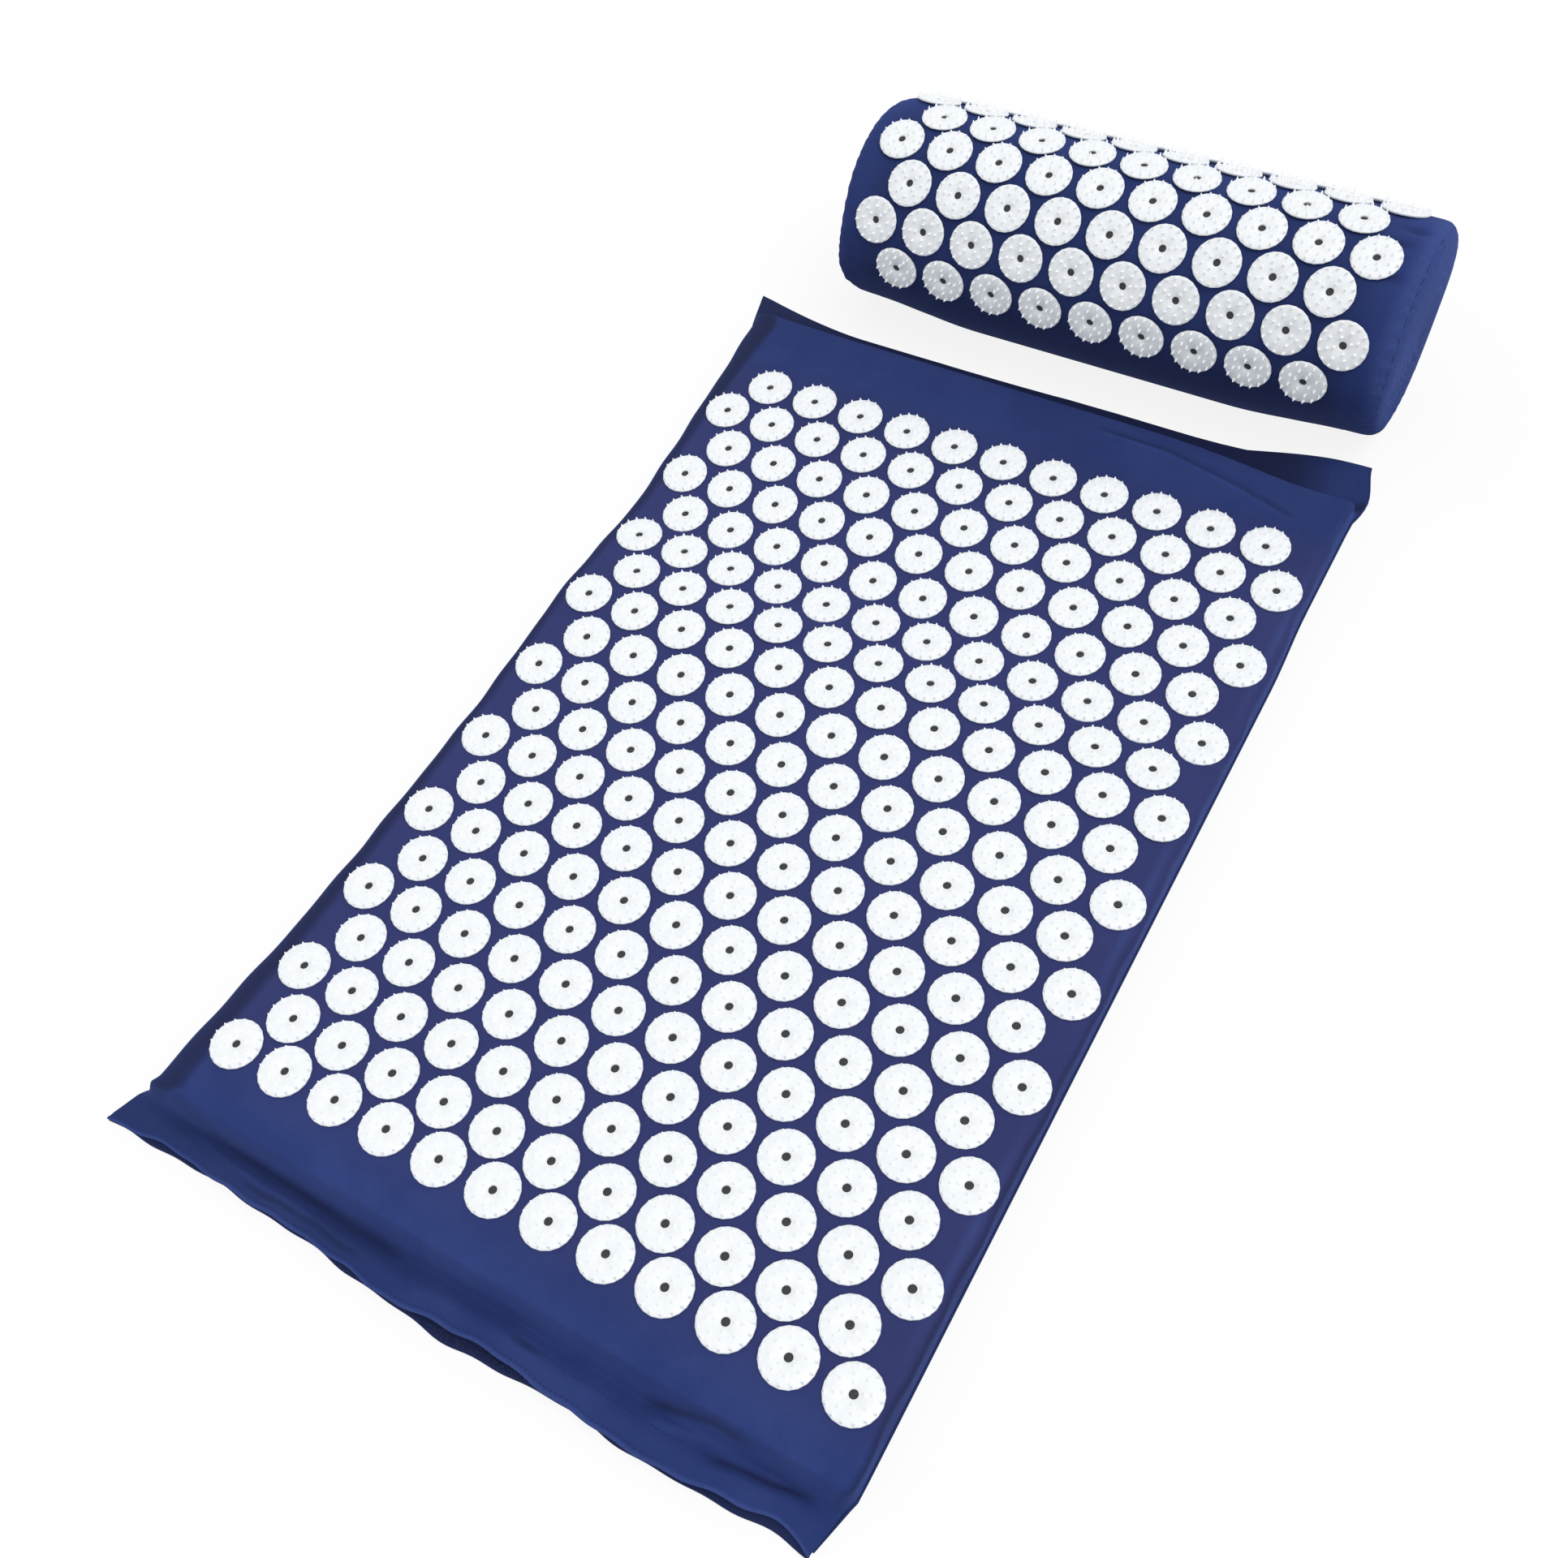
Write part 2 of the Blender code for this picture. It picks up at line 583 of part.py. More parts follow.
def bead(name, route, height, radius, sides, slot):
    """A round bead that follows a level route, capped at both ends."""
    mesh = bmesh.new()
    section = circle(sides, radius, FULL_TURN / 4)
    lines = [[(*point, height + b) for point in set_off(route, -a)] for a, b in section]
    rings = [[mesh.verts.new(point) for point in ring] for ring in zip(*lines)]
    for one, other in zip(rings, rings[1:]):
        wall(mesh, one, other)
    mesh.faces.new(rings[0])
    mesh.faces.new(rings[-1])
    return finish(name, mesh, [slot])


bead("mat_seam", seam_route(), SEAM_RADIUS + SEAT_GAP, SEAM_RADIUS, SEAM_SIDES, SEAM_THREAD)

# Pillow surfaces


def pillow_corner(turn, h):
    """How far the skin has run out and drawn in after turning round the end's corner by an angle."""
    out = PILLOW_STRAIGHT + (PILLOW_CORNER + h) * math.sin(turn)
    radius = PILLOW_RADIUS - PILLOW_CORNER + (PILLOW_CORNER + h) * math.cos(turn)
    return out, radius


def pillow_round(x, radius, angle, h):
    """A point round the roll's axis, kept above the foot that the floor presses flat."""
    y = -radius * math.cos(angle)
    z = PILLOW_AXIS_HEIGHT + radius * math.sin(angle)
    return Vector((PILLOW_X + x, PILLOW_Y + y, max(z, -h)))


def pillow_cover(u, v, h):
    """The cover's outer face, h above it: u along the roll and its corners, v round it from the front."""
    past = max(abs(u) - PILLOW_STRAIGHT, 0.0)
    out, radius = pillow_corner(past / PILLOW_CORNER, h)
    x = math.copysign(out, u) if past else u
    return pillow_round(x, radius, v / PILLOW_RADIUS, h)


# Pillow pieces

ROUND = PILLOW_RADIUS
SEAM_HALF_GAP = SEAT_GAP / 2
END_U = PILLOW_STRAIGHT + PILLOW_CORNER * END_SEAM_ANGLE - SEAM_HALF_GAP
PILLOW_FIRST_ROW = FIRST_ROW_ANGLE * ROUND
PILLOW_DISCS = [
    (u + PILLOW_FIELD_SHIFT, v, row)
    for u, v, row in staggered(PILLOW_ROWS, PILLOW_LONG_ROW, PILLOW_ROW_PITCH, PILLOW_FIRST_ROW, 1)
]
PILLOW_FIELD_U = (PILLOW_LONG_ROW - 1) / 2 * COLUMN_PITCH + PILLOW_FIELD_SHIFT + DISC_RADIUS + DISC_MARGIN
PILLOW_FIELD_LOW = PILLOW_FIRST_ROW - DISC_RADIUS - DISC_MARGIN
PILLOW_FIELD_HIGH = PILLOW_FIRST_ROW + (PILLOW_ROWS - 1) * PILLOW_ROW_PITCH + DISC_RADIUS + DISC_MARGIN
FRONT_V = FRONT_SEAM_ANGLE * ROUND
ZIP_V = ZIP_ANGLE * ROUND
BACK_V = ZIP_V - ZIP_SLOT / 2
BASE_BACK_V = ZIP_V + ZIP_SLOT / 2
BASE_FRONT_V = FRONT_V + FULL_TURN * ROUND - SEAT_GAP
FOOT_ANGLE = math.asin(PILLOW_AXIS_HEIGHT / PILLOW_RADIUS)
FOOT_BACK_V = (math.pi + FOOT_ANGLE) * ROUND
FOOT_FRONT_V = (FULL_TURN - FOOT_ANGLE) * ROUND
PILLOW_TURN_U = [(PILLOW_STRAIGHT + END_U) / 2, END_U]
PILLOW_COLUMNS = sorted(
    [-u for u in PILLOW_TURN_U] + spread(-PILLOW_STRAIGHT, PILLOW_STRAIGHT, 4) + PILLOW_TURN_U
    + [-PILLOW_FIELD_U, PILLOW_FIELD_U]
)
PILLOW_TOP_ROWS = (
    spread(FRONT_V, PILLOW_FIELD_LOW, 4)
    + spread(PILLOW_FIELD_LOW, PILLOW_FIELD_HIGH, 15)[1:]
    + [BACK_V]
)
PILLOW_BASE_ROWS = (
    spread(BASE_BACK_V, FOOT_BACK_V, 6)
    + spread(FOOT_BACK_V, FOOT_FRONT_V, 3)[1:]
    + [BASE_FRONT_V]
)

disc_panel(
    "pillow_top_panel",
    pillow_cover,
    lambda v: CLOTH,
    PILLOW_COLUMNS,
    PILLOW_TOP_ROWS,
    PILLOW_DISCS,
    (0,),
    PILLOW_STRAIGHT,
)
FRONT_DISCS = [disc for disc in PILLOW_DISCS if disc[2] == 0]
for number, (u, v, _) in enumerate(FRONT_DISCS, 1):
    spiked_disc(f"pillow_disc_{number}", seat(pillow_cover, u, v))


def skin(name, columns, rows, high, low, slot):
    """A piece of the pillow's skin between two heights over its outer face."""
    return slab(
        name,
        lambda u, v: pillow_cover(u, v, high),
        lambda u, v: pillow_cover(u, v, low),
        columns,
        rows,
        slot,
    )


skin("pillow_base_panel", PILLOW_COLUMNS, PILLOW_BASE_ROWS, 0.0, -CLOTH, NAVY_CLOTH)

RING_ANGLES = [v / ROUND for v in PILLOW_TOP_ROWS + [ZIP_V] + PILLOW_BASE_ROWS[:-1]]
END_MIDDLE = (END_SEAM_ANGLE + math.pi / 2) / 2
END_TURNS = (END_SEAM_ANGLE + SEAM_HALF_GAP / PILLOW_CORNER, END_MIDDLE, math.pi / 2)
CORNER_COLUMNS = [u for u in PILLOW_COLUMNS if u > PILLOW_STRAIGHT]
CORE_TURNS = [0.0] + [(u - PILLOW_STRAIGHT) / PILLOW_CORNER for u in CORNER_COLUMNS[:-1]]
CORE_TURNS += [END_SEAM_ANGLE, END_MIDDLE, math.pi / 2]
CROWN_SHARE = 0.55


def end_rings(mesh, side, h, turns):
    """Rings round one end of the roll, out over the corner and in to the crown, and its middle point."""
    stations = [pillow_corner(turn, h) for turn in turns]
    face_radius = PILLOW_RADIUS - PILLOW_CORNER
    crown = END_CROWN * (1 - CROWN_SHARE * CROWN_SHARE)
    stations.append((PILLOW_LENGTH / 2 + h + crown, face_radius * CROWN_SHARE))
    rings = []
    for out, radius in stations:
        points = [pillow_round(side * out, radius, angle, h) for angle in RING_ANGLES]
        rings.append([mesh.verts.new(point) for point in points])
    middle = pillow_round(side * (PILLOW_LENGTH / 2 + h + END_CROWN), 0.0, 0.0, h)
    return rings, mesh.verts.new(middle)


def dome(mesh, rings, middle, mirrored):
    """Faces from ring to ring, closed by a fan at the middle."""
    for one, other in zip(rings, rings[1:]):
        wall(mesh, one, other, mirrored)
    for k in range(len(rings[-1])):
        mesh.faces.new((rings[-1][k - 1], rings[-1][k], middle))


for side, name in ((-1, "pillow_left_end"), (1, "pillow_right_end")):
    shell = bmesh.new()
    outer_rings, outer_middle = end_rings(shell, side, 0.0, END_TURNS)
    inner_rings, inner_middle = end_rings(shell, side, -CLOTH, END_TURNS)
    dome(shell, outer_rings, outer_middle, side < 0)
    dome(shell, inner_rings, inner_middle, side < 0)
    wall(shell, outer_rings[0], inner_rings[0])
    finish(name, shell, [NAVY_CLOTH])

core = bmesh.new()
left_rings, left_middle = end_rings(core, -1, -(CLOTH + SEAT_GAP), CORE_TURNS)
right_rings, right_middle = end_rings(core, 1, -(CLOTH + SEAT_GAP), CORE_TURNS)
dome(core, left_rings, left_middle, True)
dome(core, right_rings, right_middle, False)
wall(core, left_rings[0], right_rings[0])
finish("pillow_foam_core", core, [FOAM])

# Zip: tapes and chain lie in the skin, between the two cloth tabs at its ends

ZIP_COLUMNS = [-PILLOW_STRAIGHT, 0.0, PILLOW_STRAIGHT]
CHAIN_HALF = ZIP_CHAIN_WIDTH / 2
TAPE_IN = CHAIN_HALF + SEAT_GAP
TAPE_OUT = ZIP_SLOT / 2 - SEAT_GAP
CHAIN_LOW = ZIP_CHAIN_PROUD - ZIP_CHAIN_THICKNESS
CHAIN_END = PILLOW_STRAIGHT - STOP_LENGTH - SEAT_GAP
CHAIN_SIDES = [ZIP_V - CHAIN_HALF, ZIP_V + CHAIN_HALF]
skin("zip_upper_tape", ZIP_COLUMNS, [ZIP_V - TAPE_OUT, ZIP_V - TAPE_IN], 0.0, -CLOTH, ZIP_TAPE)
skin("zip_lower_tape", ZIP_COLUMNS, [ZIP_V + TAPE_IN, ZIP_V + TAPE_OUT], 0.0, -CLOTH, ZIP_TAPE)
skin("zip_chain", [-CHAIN_END, 0.0, CHAIN_END], CHAIN_SIDES, ZIP_CHAIN_PROUD, CHAIN_LOW, ZIP_COIL)
for side, end in ((-1, "left"), (1, "right")):
    stop = sorted([side * (PILLOW_STRAIGHT - STOP_LENGTH), side * PILLOW_STRAIGHT])
    skin(f"zip_{end}_stop", stop, CHAIN_SIDES, STOP_PROUD, CHAIN_LOW, ZIP_METAL)
    tab = sorted([side * u for u in (PILLOW_STRAIGHT + SEAT_GAP, *CORNER_COLUMNS)])
    skin(f"zip_{end}_tab", tab, [ZIP_V - TAPE_OUT, ZIP_V, ZIP_V + TAPE_OUT], 0.0, -CLOTH, NAVY_CLOTH)

# The slider's own frame: X along the zip, Z out of the pillow, origin on the cover's outer face
SLIDER_U = -(PILLOW_STRAIGHT - SLIDER_END_GAP - SLIDER_LENGTH / 2)
SLIDER_SEAT = seat(pillow_cover, SLIDER_U, ZIP_V)
CHANNEL_HALF = CHAIN_HALF + SEAT_GAP
CHANNEL_TOP = ZIP_CHAIN_PROUD + SEAT_GAP
PLATE_TOP = CHANNEL_TOP + SLIDER_PLATE
HINGE_HEIGHT = PLATE_TOP + BRIDGE_OPENING / 2


def ribbon(mesh, sections):
    """Sections of the same number of points, joined one after another."""
    loops = [[mesh.verts.new(point) for point in section] for section in sections]
    for one, other in zip(loops, loops[1:]):
        wall(mesh, one, other)
    return loops


def channel(x, half):
    """Section of the slider's body at x: a plate with two flanges that straddle the chain."""
    outer = [(x, -half, SEAT_GAP), (x, -half, PLATE_TOP), (x, half, PLATE_TOP), (x, half, SEAT_GAP)]
    inner = [(x, CHANNEL_HALF, SEAT_GAP), (x, CHANNEL_HALF, CHANNEL_TOP)]
    return outer + inner + [(x, -CHANNEL_HALF, CHANNEL_TOP), (x, -CHANNEL_HALF, SEAT_GAP)]


slider = bmesh.new()
HALF_LENGTH = SLIDER_LENGTH / 2
BRIDGE_HALF = BRIDGE_LENGTH / 2
stations = (
    (-HALF_LENGTH, SLIDER_NOSE_WIDTH / 2),
    (-HALF_LENGTH / 2, SLIDER_WIDTH / 2),
    (HALF_LENGTH, SLIDER_WIDTH / 2),
)
body = ribbon(slider, [channel(x, half) for x, half in stations])
slider.faces.new(body[0])
slider.faces.new(body[-1])
top_faces = [face for face in slider.faces if all(abs(vert.co.z - PLATE_TOP) < SEAT_GAP / 2 for vert in face.verts)]
bmesh.ops.delete(slider, geom=top_faces, context="FACES_ONLY")


def bridge_section(x_out, x_in, high, low):
    """Four corners of the bridge's bar where a leg or the crossing starts."""
    half = BRIDGE_WIDTH / 2
    return [(x_out, -half, high), (x_out, half, high), (x_in, half, low), (x_in, -half, low)]


LEG_IN = BRIDGE_HALF - BRIDGE_BAR
UNDER_BRIDGE = PLATE_TOP + BRIDGE_OPENING
OVER_BRIDGE = UNDER_BRIDGE + BRIDGE_BAR
bridge = ribbon(
    slider,
    [
        bridge_section(-BRIDGE_HALF, -LEG_IN, PLATE_TOP, PLATE_TOP),
        bridge_section(-BRIDGE_HALF, -LEG_IN, OVER_BRIDGE, UNDER_BRIDGE),
        bridge_section(BRIDGE_HALF, LEG_IN, OVER_BRIDGE, UNDER_BRIDGE),
        bridge_section(BRIDGE_HALF, LEG_IN, PLATE_TOP, PLATE_TOP),
    ],
)
plate = [loop[1] for loop in body] + [loop[2] for loop in reversed(body)]
flat = [[vert.co.xy for vert in each] for each in (plate, bridge[0], bridge[-1])]
points = plate + bridge[0] + bridge[-1]
for corners, held_by in triangulate(flat[0], flat[1:]):
    if held_by is None:
        slider.faces.new([points[k] for k in corners])
slider.transform(SLIDER_SEAT)
finish("zip_slider", slider, [ZIP_METAL])

# The pull's round cross bar turns under the slider's bridge; its arms pass outside the bridge's legs
pull = bmesh.new()
BAR_HALF = PULL_THICKNESS / 2
BAR_FLAT = BAR_HALF * math.tan(math.pi / 8)
TIP = PULL_LENGTH - BAR_HALF
PULL_HALF = PULL_WIDTH / 2
NECK_HALF = PULL_NECK_WIDTH / 2
EYE_HALF = PULL_HALF - PULL_ARM
EYE_END = PULL_EYE + PULL_ARM


def pull_loops(reach):
    """Outline, eye and hole of the pull where its cross bar reaches this far from the hinge's axis."""
    outline = [
        (-reach, -PULL_HALF),
        (EYE_END, -PULL_HALF),
        (EYE_END + PULL_HALF, -NECK_HALF),
        (TIP - NECK_HALF / 2, -NECK_HALF),
        (TIP, -NECK_HALF / 2),
        (TIP, NECK_HALF / 2),
        (TIP - NECK_HALF / 2, NECK_HALF),
        (EYE_END + PULL_HALF, NECK_HALF),
        (EYE_END, PULL_HALF),
        (-reach, PULL_HALF),
    ]
    eye = [(reach, -EYE_HALF), (PULL_EYE, -EYE_HALF), (PULL_EYE, EYE_HALF), (reach, EYE_HALF)]
    hole = [(TIP - NECK_HALF + x, y) for x, y in circle(HOLE_SIDES, PULL_HOLE)]
    return [outline, eye, hole]


layers = []
for level, reach in ((-BAR_HALF, BAR_FLAT), (-BAR_FLAT, BAR_HALF), (BAR_FLAT, BAR_HALF), (BAR_HALF, BAR_FLAT)):
    flat = pull_loops(reach)
    loops = [[pull.verts.new((x, y, HINGE_HEIGHT + level)) for x, y in loop] for loop in flat]
    if abs(level) == BAR_HALF:
        points = [vert for loop in loops for vert in loop]
        for corners, held_by in triangulate(flat[0], flat[1:]):
            if held_by is None:
                pull.faces.new([points[k] for k in corners])
    layers.append(loops)
for lower, upper in zip(layers, layers[1:]):
    for one, other in zip(lower, upper):
        wall(pull, one, other)
pull.transform(SLIDER_SEAT)
finish("zip_pull", pull, [ZIP_METAL])
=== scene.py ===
"""Looks of the acupressure mat and its neck pillow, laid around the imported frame. Metres, +Z up."""

import math

import bpy
from mathutils import Matrix, Vector, noise
from mathutils.bvhtree import BVHTree


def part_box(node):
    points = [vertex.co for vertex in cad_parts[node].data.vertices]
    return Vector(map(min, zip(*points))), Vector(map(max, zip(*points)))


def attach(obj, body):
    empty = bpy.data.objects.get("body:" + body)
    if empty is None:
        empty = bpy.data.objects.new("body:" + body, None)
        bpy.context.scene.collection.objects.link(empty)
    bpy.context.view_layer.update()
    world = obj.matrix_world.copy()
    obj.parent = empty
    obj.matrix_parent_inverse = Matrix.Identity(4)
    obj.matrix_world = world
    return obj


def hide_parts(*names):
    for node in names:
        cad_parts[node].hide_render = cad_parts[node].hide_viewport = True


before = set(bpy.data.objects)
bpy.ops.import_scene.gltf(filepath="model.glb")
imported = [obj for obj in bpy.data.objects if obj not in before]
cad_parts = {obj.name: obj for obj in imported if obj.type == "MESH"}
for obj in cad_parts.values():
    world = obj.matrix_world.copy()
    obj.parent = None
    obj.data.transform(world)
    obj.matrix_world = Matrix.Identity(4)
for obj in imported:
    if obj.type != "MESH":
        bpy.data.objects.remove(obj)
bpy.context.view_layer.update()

# The camera stands to the right of the mat's open end and looks down along it. Its turn, place and lens
# come from matching the centres of the discs with the photograph.
SEEN_TURN = Vector((2.51832, 0.6254387, -0.3598268))
SEEN_FROM = Vector((0.3327, -0.3851, 0.8012))
LENS = 38.305
SENSOR_WIDTH = 36
NEAREST_SEEN = 0.01

to_camera = Matrix.Rotation(SEEN_TURN.length, 3, SEEN_TURN.normalized())
lens = bpy.data.cameras.new("camera")
lens.lens = LENS
lens.sensor_width = SENSOR_WIDTH
lens.clip_start = NEAREST_SEEN
camera = bpy.data.objects.new("camera", lens)
bpy.context.scene.collection.objects.link(camera)
camera_axes = Matrix((to_camera[0], -to_camera[1], -to_camera[2])).transposed().to_4x4()
camera.matrix_world = Matrix.Translation(SEEN_FROM) @ camera_axes
bpy.context.scene.camera = camera

# The mat's top cloth is navy plain-weave cotton. It is stretched over the foam slab and sewn to the base
# cloth along three edges; at the open near end its edge is turned under as a hem.
CLOTH = 0.001
TURNED_CLOTH = 0.0009
DISC_RADIUS = 0.0148
COLUMN_PITCH = 0.034
MAT_ROW_SHARE = 0.832
MAT_ROW_PITCH = MAT_ROW_SHARE * COLUMN_PITCH
MAT_ROWS = 20
FLAT_RIGHT = 0.198
FLAT_LEFT = 0.2015
SHOULDER = 0.006
FOAM_NEAR = -0.30294
FOAM_FAR = 0.32594
NEAR_FALL = 0.0095
FAR_FALL = 0.009
MAT_TOP = 0.0204
DROP = 0.0191
SHOULDER_ARC = SHOULDER * math.pi / 2
MARGIN = SHOULDER_ARC + DROP - SHOULDER
REACH_RIGHT = FLAT_RIGHT + MARGIN
REACH_LEFT = FLAT_LEFT + MARGIN
MOUTH_Y = -0.33044
MOUTH_EDGE = 0.0043
HEM_DEPTH = 0.014
HEM_TURN_RUN = 0.0015
HEM_TURN = (
    (HEM_DEPTH, -2), (HEM_DEPTH / 2, -2), (HEM_TURN_RUN, -2), (0.0004, -1.7), (0.0, -1), (0.0004, 0.1),
    (0.0010, 0.4),
)
HEM_ROLL = 0.0022
EVEN_ROWS_FROM = -0.29
EVEN_ROWS_TO = 0.285
TAIL_FAR_Y = 0.35194
TAIL_BEND = 0.1386
TAIL_LEVEL = 0.0023
NEAR_DRIFT = 0.0207
NEAR_TAKEN_UP_SHARE = 0.015
FAR_DRIFT = 0.0130
EAR_LEFT = 0.013
EAR_LEFT_POWER = 1.6
EAR_RIGHT = 0.016
BOW_NEAR = 0.0115
BOW_NEAR_POWER = 1.7
BOW_FAR = 0.0115
BOW_FAR_POWER = 4
RIGHT_DIP = 0.002
RIGHT_DIP_FROM = 0.19
RIGHT_DIP_RUN = 0.06
EDGE_RIPPLES = {
    -1: ((0.0004, 0.0093, 0.8), (0.0003, 0.0061, 2.1)),
    1: ((0.0007, 0.0099, 0.0), (0.0005, 0.0057, 1.3)),
}
# Painted shade below the rims over the side walls, and a painted highlight along the right rim's crest.
EDGE_DARK_SHARES = {-1: 0.85, 1: 0.6}
EDGE_DARK_FROM = {-1: -0.0020, 1: 0.0032}
EDGE_DARK_RUN = 0.003
EDGE_DARK_END = 0.10
EDGE_DARK_FADE = 0.25
EDGE_HIGHLIGHT_SHARES = {-1: 0.0, 1: 0.4}
EDGE_HIGHLIGHT_LENGTH = 0.031
EDGE_CREST = 0.0005
EDGE_CREST_WIDTH = 0.002
NEAR_PINCH = 0.005
NEAR_PINCH_SPAN = 0.011
NEAR_PINCH_SHARES = {-1: 0.55, 1: 0.05}
FAR_PINCH = 0.003
FAR_PINCH_SPAN = 0.012
FAR_PINCH_SHARE = 0.3
SWELLS = (
    (0.0035, -0.282, 0.079, 0.011), (0.0045, 0.076, 0.054, 0.006), (-0.004, 0.135, 0.042, -0.017),
    (0.003, 0.273, 0.068, 0.0),
)
NEAR_LEFT_RISE = 0.003
NEAR_LEFT_FROM = -0.19
NEAR_LEFT_RUN = 0.08
VALLEY = 0.0080
VALLEY_DIPS = ((-0.100, 0.070, -0.0042), (0.178, 0.035, -0.0042))
LIP_CROWN = 0.003
LIP_STEEPNESS = 1.9
LIP = 0.0085
LIP_RISES = ((-0.185, 0.025, 0.002), (0.030, 0.050, 0.005), (0.175, 0.030, 0.005))
LIP_WAVES = (
    (-0.195, 0.032, 0.0039), (-0.130, 0.035, 0.0013), (-0.040, 0.028, -0.0036), (0.060, 0.022, -0.0026),
    (0.108, 0.034, -0.0052), (0.178, 0.012, 0.0032), (0.200, 0.008, -0.0050),
)
RIM_SHIFT = 0.0045
RIM_DIPS = ((0.180, 0.055, -0.0085),)
FLAP_RISES = ((0.185, 0.055, 0.0085), (0.060, 0.070, 0.0025))
ROUND_ACROSS = 0.0085
ROUND_ALONG = 0.0015
ROUND_FROM_U = 0.178
ROUND_RUN_U = 0.039
ROUND_FROM_V = 0.336
ROUND_RUN_V = 0.016
# The values below paint highlights and shade into the cover's colour: a highlight at the hem's edge, over the
# rims and on fold ridges; shade in fold grooves, the loose ends, the far groove and the far top.
HEM_HIGHLIGHT_RUN = 0.0025
RIM_HIGHLIGHT_SHARE = 0.5
RIM_HIGHLIGHT_STEEPNESS = 3
RIM_HIGHLIGHT_START = 2.2
RIDGE_HIGHLIGHT = 90
GROOVE_SHADE = 210
NEAR_SHADE_SHARE = 0.36
NEAR_SHADE_RIGHT_SHARE = 0.25
NEAR_SHADE_FROM = 0.06
NEAR_SHADE_RUN = 0.16
FAR_SHADE_SHARE = 0.85
FAR_CORNER_LIGHT_SHARE = 0.8
FAR_CORNER_FROM = 0.16
FAR_CORNER_RUN = 0.04
FOOT_SHADE_SHARE = 0.95
FOOT_SHADE_WIDTH = 0.0035
FAR_TOP_SHADE_SHARE = 0.24
FAR_TOP_FROM = 0.20
FAR_TOP_RUN = 0.08
COVER_FOLDS = (
    (((-0.207, -0.3045), (-0.160, -0.3105), (-0.083, -0.3135), (-0.043, -0.3125)), 0.0024, -0.0014),
    (((-0.190, -0.3150), (-0.150, -0.3185), (-0.095, -0.3190)), 0.0022, 0.0016),
    (((-0.150, -0.3235), (-0.100, -0.3222), (-0.062, -0.3235)), 0.0016, -0.0014),
    (((0.0226, -0.3186), (0.0472, -0.3182)), 0.0016, -0.0024),
    (((0.094, -0.3118), (0.134, -0.3059), (0.1555, -0.3069)), 0.0016, -0.0030),
    (((0.133, -0.3179), (0.167, -0.3159), (0.191, -0.312)), 0.0017, -0.0032),
    (((0.100, -0.3168), (0.128, -0.3125), (0.165, -0.3105)), 0.0022, 0.0020),
    (((0.037, 0.3208), (0.087, 0.3192), (0.133, 0.3097), (0.179, 0.2958)), 0.0018, -0.0016),
    (((0.037, 0.3168), (0.087, 0.3152), (0.131, 0.3057), (0.176, 0.2918)), 0.0022, 0.0018),
    (((0.190, -0.2960), (0.203, -0.2985)), 0.0020, 0.0014),
    (((-0.2050, -0.2990), (-0.2035, -0.2600)), 0.0016, 0.0008),
    (((-0.2070, -0.3035), (-0.1900, -0.3055)), 0.0018, -0.0015),
)
FOLD_END = 0.012
FOLD_EDGE_SHARE = 0.3
SCALLOPS = ((0.00045, 0.0137, 0.4), (0.0003, 0.0223, 1.9))
SCALLOP_LIFT_RATE = 0.7
SLACK_WAVE = 0.0009
SLACK_WAVE_LENGTH = 0.03


def smooth(share):
    held = min(max(share, 0.0), 1.0)
    return held * held * (3 - 2 * held)


def waves(shape, place):
    """Sum of soft bumps, each given as its middle, half width and height."""
    return sum(height * math.exp(-(((place - middle) / width) ** 2)) for middle, width, height in shape)


def outward(u):
    """Nothing over the middle of the loose ends, and one at a side edge."""
    reach = REACH_RIGHT if u > 0 else REACH_LEFT
    return max(abs(u) - TAIL_BEND, 0.0) / (reach - TAIL_BEND)


def over_foam(u, v):
    """One where the foam lifts the cover, and nothing past its two falls."""
    rim = FOAM_FAR + RIM_SHIFT + waves(RIM_DIPS, u)
    return smooth((v - FOAM_NEAR + NEAR_FALL) / NEAR_FALL) * smooth((rim + FAR_FALL - v) / FAR_FALL)


def widening(side, v):
    """How far the loose ends have spread from the foam's width to the cloth's full width."""
    if v < 0:
        past, whole = FOAM_NEAR - v, FOAM_NEAR - MOUTH_Y
        pinch, span, share = NEAR_PINCH, NEAR_PINCH_SPAN, NEAR_PINCH_SHARES[side]
    else:
        past, whole = v - FOAM_FAR, TAIL_FAR_Y - FOAM_FAR
        pinch, span, share = FAR_PINCH, FAR_PINCH_SPAN, FAR_PINCH_SHARE
    even = min(max(past / whole, 0.0), 1.0)
    return (1 - share) * even + share * smooth((past + pinch) / span)


def side_bow(side, v):
    """How far a side wall stands out from its straight line."""
    if side > 0:
        return -RIGHT_DIP * smooth((v - RIGHT_DIP_FROM) / RIGHT_DIP_RUN)
    if v < 0:
        return BOW_NEAR * (v / FOAM_NEAR) ** BOW_NEAR_POWER
    return BOW_FAR * (v / FOAM_FAR) ** BOW_FAR_POWER


def edge_ripple(side, v):
    """How far the rim over a side wall is pushed out by the foam, row by row."""
    return sum(height * math.sin(v / length + start) for height, length, start in EDGE_RIPPLES[side])


def rim_painted_tones(u, v):
    """The rim over a side wall: a painted highlight in places along its crest, and painted shade below it."""
    side = 1 if u > 0 else -1
    past = abs(u) - (FLAT_RIGHT if u > 0 else FLAT_LEFT)
    paint_level = 0.5 + 0.5 * math.sin(v / EDGE_HIGHLIGHT_LENGTH + 1)
    crest = math.exp(-(((past - EDGE_CREST) / EDGE_CREST_WIDTH) ** 2)) * paint_level
    below = smooth((past - EDGE_DARK_FROM[side]) / EDGE_DARK_RUN)
    if side > 0:
        below *= smooth((EDGE_DARK_END - v) / EDGE_DARK_FADE)
    return EDGE_HIGHLIGHT_SHARES[side] * crest - EDGE_DARK_SHARES[side] * below


